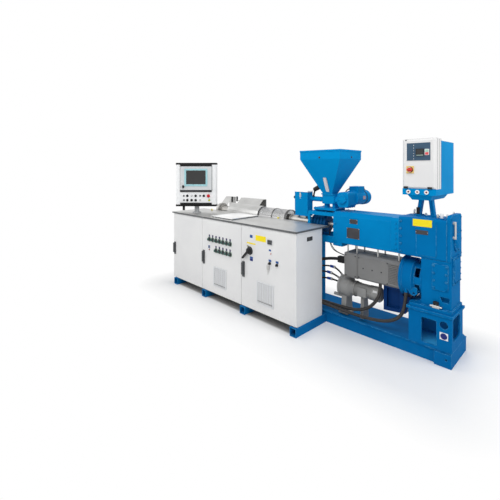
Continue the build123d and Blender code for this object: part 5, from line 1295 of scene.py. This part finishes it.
plateSettings = {
    "oilPlate": (gearSettings["upper"], (0.959, 1.120, 1.172, 1.236), (0.0014, -0.0057),
                 "labelYellow", 0.0025, 0.0003),
    "typePlate": (gearSettings["upper"], (0.983, 1.089, 1.102, 1.140), (0.0016, -0.0057),
                  "plateDark", 0.003, 0.0004),
    "upperPlate": (gearSettings["housing"], (0.319, 0.409, 1.117, 1.165), (0.0016, -0.0004),
                   "plateDark", 0.003, 0.0004),
    "lowerPlate": (gearSettings["housing"], (0.286, 0.430, 0.962, 1.073), (0.0016, -0.0004),
                   "plateDark", 0.004, 0.0004),
    "pedestalSign": (-0.1900, (1.185, 1.250, 0.227, 0.288), (0.0018, -0.0002), "labelWhite", 0.0015, 0.0002),
}
platesMade = [onFace(name, *sizes) for name, sizes in plateSettings.items()]
platesMade.append(collar("signDisc", (1.2175, -0.1916, 0.2575), (1.2175, -0.1928, 0.2575), 0.0265, 0.0250,
                         "deepLabel", 0.0002, 36))
seat(joinAll(platesMade, "plates"), "frame")
plateScrews = gridPlaces([((0.3245, 0.4035), (-0.1672,), (1.1225, 1.1595), toFront, 0),
                          ((0.2920, 0.4240), (-0.1672,), (0.968, 1.067), toFront, 0),
                          ((0.9875, 1.0845), (-0.1792,), (1.121,), toFront, 0)])
boltRow("plateScrews", capScrew(0.0032, 0.0022), plateScrews)

# The two white caps are painted highlight, for pale glints on the fittings on top
topSettings = {"top": 1.2445, "eyes": (0.872, 1.215),
               "caps": ((1.145, -0.100, 0.040, 0.011, "zincSteel"),
                        (1.177, -0.100, 0.052, 0.014, "labelWhite"),
                        (1.222, -0.100, 0.046, 0.010, "zincSteel"),
                        (0.995, 0.055, 0.026, 0.010, "labelWhite"),
                        (1.020, 0.000, 0.022, 0.008, "zincSteel"))}
top = topSettings["top"]
topParts = [block("legSleeve", (0.9165, 0.0290, 1.258), (0.9475, 0.0330, 1.322), "blackPlastic", 0.0008, 2,
                  0.002, 0.0006)]
for x, y, height, radius, finish in topSettings["caps"]:
    topParts += [collar("topSeat", (x, y, top), (x, y, top + 0.0100), radius + 0.005, radius, "castPaint"),
                 domedCap("topCap", (x, y, top + 0.0055), (x, y, top + 0.0005 + height), radius, finish)]
for x in topSettings["eyes"]:
    topParts += [collar("eyeFoot", (x, 0.110, top), (x, 0.110, top + 0.0135), 0.016, 0.009, "zincSteel"),
                 coat(addRing("eye", (x, 0.110, top + 0.0315), (1, 0, 0), 0.0165, 0.0050, 28, 12),
                      "zincSteel")]
seat(joinAll(topParts, "gearboxTop"), "frame")

handle = addBlock("valveHandle", (1.1280, -0.1880, 0.5065), (1.1720, -0.1590, 0.5200))
bevelEdges(handle, along(2), 0.012, 4)
pushFaces(handle, facing(2), (0, 0, 0.012))
seat(coat(handle, "blackPlastic", 0.002), "frame")
print("gearbox, housing and pedestal dressed")


# Drive motor, plug, pump and its motor

driveSettings = {"boxFace": -0.135, "motorFace": -0.130, "pump": (-0.035, 0.405), "pumpBoxFace": -0.115,
                 "fins": (0.345, 0.358, 0.371, 0.490, 0.503, 0.516), "plugRibs": (0.150, 0.166, 0.182),
                 "leadNuts": ((-0.070, 0.748), (-0.086, 0.750)), "label": (0.563, 0.0763, 0.55)}
motorParts = [
    onFace("boxCover", driveSettings["boxFace"], (0.252, 0.378, 0.552, 0.785), (0.0035, -0.0005),
           "motorPaint", 0.006, 0.0012),
    onFace("motorCover", driveSettings["motorFace"], (0.398, 0.712, 0.560, 0.775), (0.0025, -0.0005),
           "motorPaint", 0.004, -0.0012),
    block("motorTop", (0.420, -0.090, 0.7995), (0.800, 0.090, 0.8045), "motorPaint", 0.0004, 1, 0.010, 0.0010,
          (2, 1))]
seat(joinAll(motorParts, "motorCovers"), "frame")
motorScrews = gridPlaces([((0.261, 0.369), (-0.1398,), (0.562, 0.775), toFront, 0),
                          ((0.453, 0.550, 0.644), (-0.1315,), (0.666,), toFront, 0),
                          ((0.406, 0.704), (-0.1328,), (0.568, 0.767), toFront, 0)])
boltRow("motorScrews", capScrew(0.0062, 0.0040, "plateDark"), motorScrews)

plugParts = [block("plugShell", (0.1285, -0.0895, 0.6575), (0.2190, -0.0305, 0.7265), "blackPlastic", 0.002,
                   2, 0.006, 0.003, (0, -1), rounded=(0, 0.008, 3)),
             block("socketShell", (0.2170, -0.0995, 0.6685), (0.2405, -0.0205, 0.7635), "blackPlastic", 0.002,
                   rounded=(0, 0.006, 3))]
plugParts += [block("plugRib", (x, -0.0915, 0.6560), (x + 0.006, -0.0285, 0.7280), "blackPlastic", 0.0012, 1,
                    rounded=(0, 0.008, 3)) for x in driveSettings["plugRibs"]]
plugParts += [collar("leadNut", (0.2180, y, z), (0.2080, y, z), 0.0075, 0.0045, "zincSteel")
              for y, z in driveSettings["leadNuts"]]
seat(joinAll(plugParts, "plug"), "frame")

pumpY, pumpZ = driveSettings["pump"]
pumpParts = [coat(addRing("fin", (x, pumpY, pumpZ), (1, 0, 0), 0.0715, 0.0028, 48, 8), "pumpPaint")
             for x in driveSettings["fins"]]
pumpParts.append(onFace("pumpBoxLid", driveSettings["pumpBoxFace"], (0.380, 0.474, 0.360, 0.450),
                        (0.0035, -0.0005), "pumpPaint", 0.006, 0.0015))
fanPlate = addRod("fanPlate", (0.6045, pumpY, pumpZ), (0.6075, pumpY, pumpZ), 0.062, 40)
insetFaces(fanPlate, facing(0), 0.006, 0.0008)
pumpParts.append(coat(fanPlate, "pumpPaint", 0.001))
seat(joinAll(pumpParts, "pumpDressing"), "frame")
# A pale grey patch on the fan cover
labelX, labelReach, labelTurn = driveSettings["label"]
label = block("pumpPaleSpot", (-0.022, -0.0007, -0.0110), (0.022, 0.0004, 0.0110), "grilleGrey", 0.0004, 1,
              0.0015, 0.0002)
label.matrix_world = (Matrix.Translation((labelX, pumpY - labelReach * math.cos(labelTurn),
                                          pumpZ + labelReach * math.sin(labelTurn)))
                      @ Matrix.Rotation(-labelTurn, 4, "X"))
seat(settle(label), "frame")
pumpBolts = circlePlaces((0.1552, pumpY, pumpZ), toLeft, 0.092, 8, 22)
boltRow("pumpBolts", hexBolt(*boltSizes["pump"], "pumpPaint"), pumpBolts)
print("motor and pump dressed")
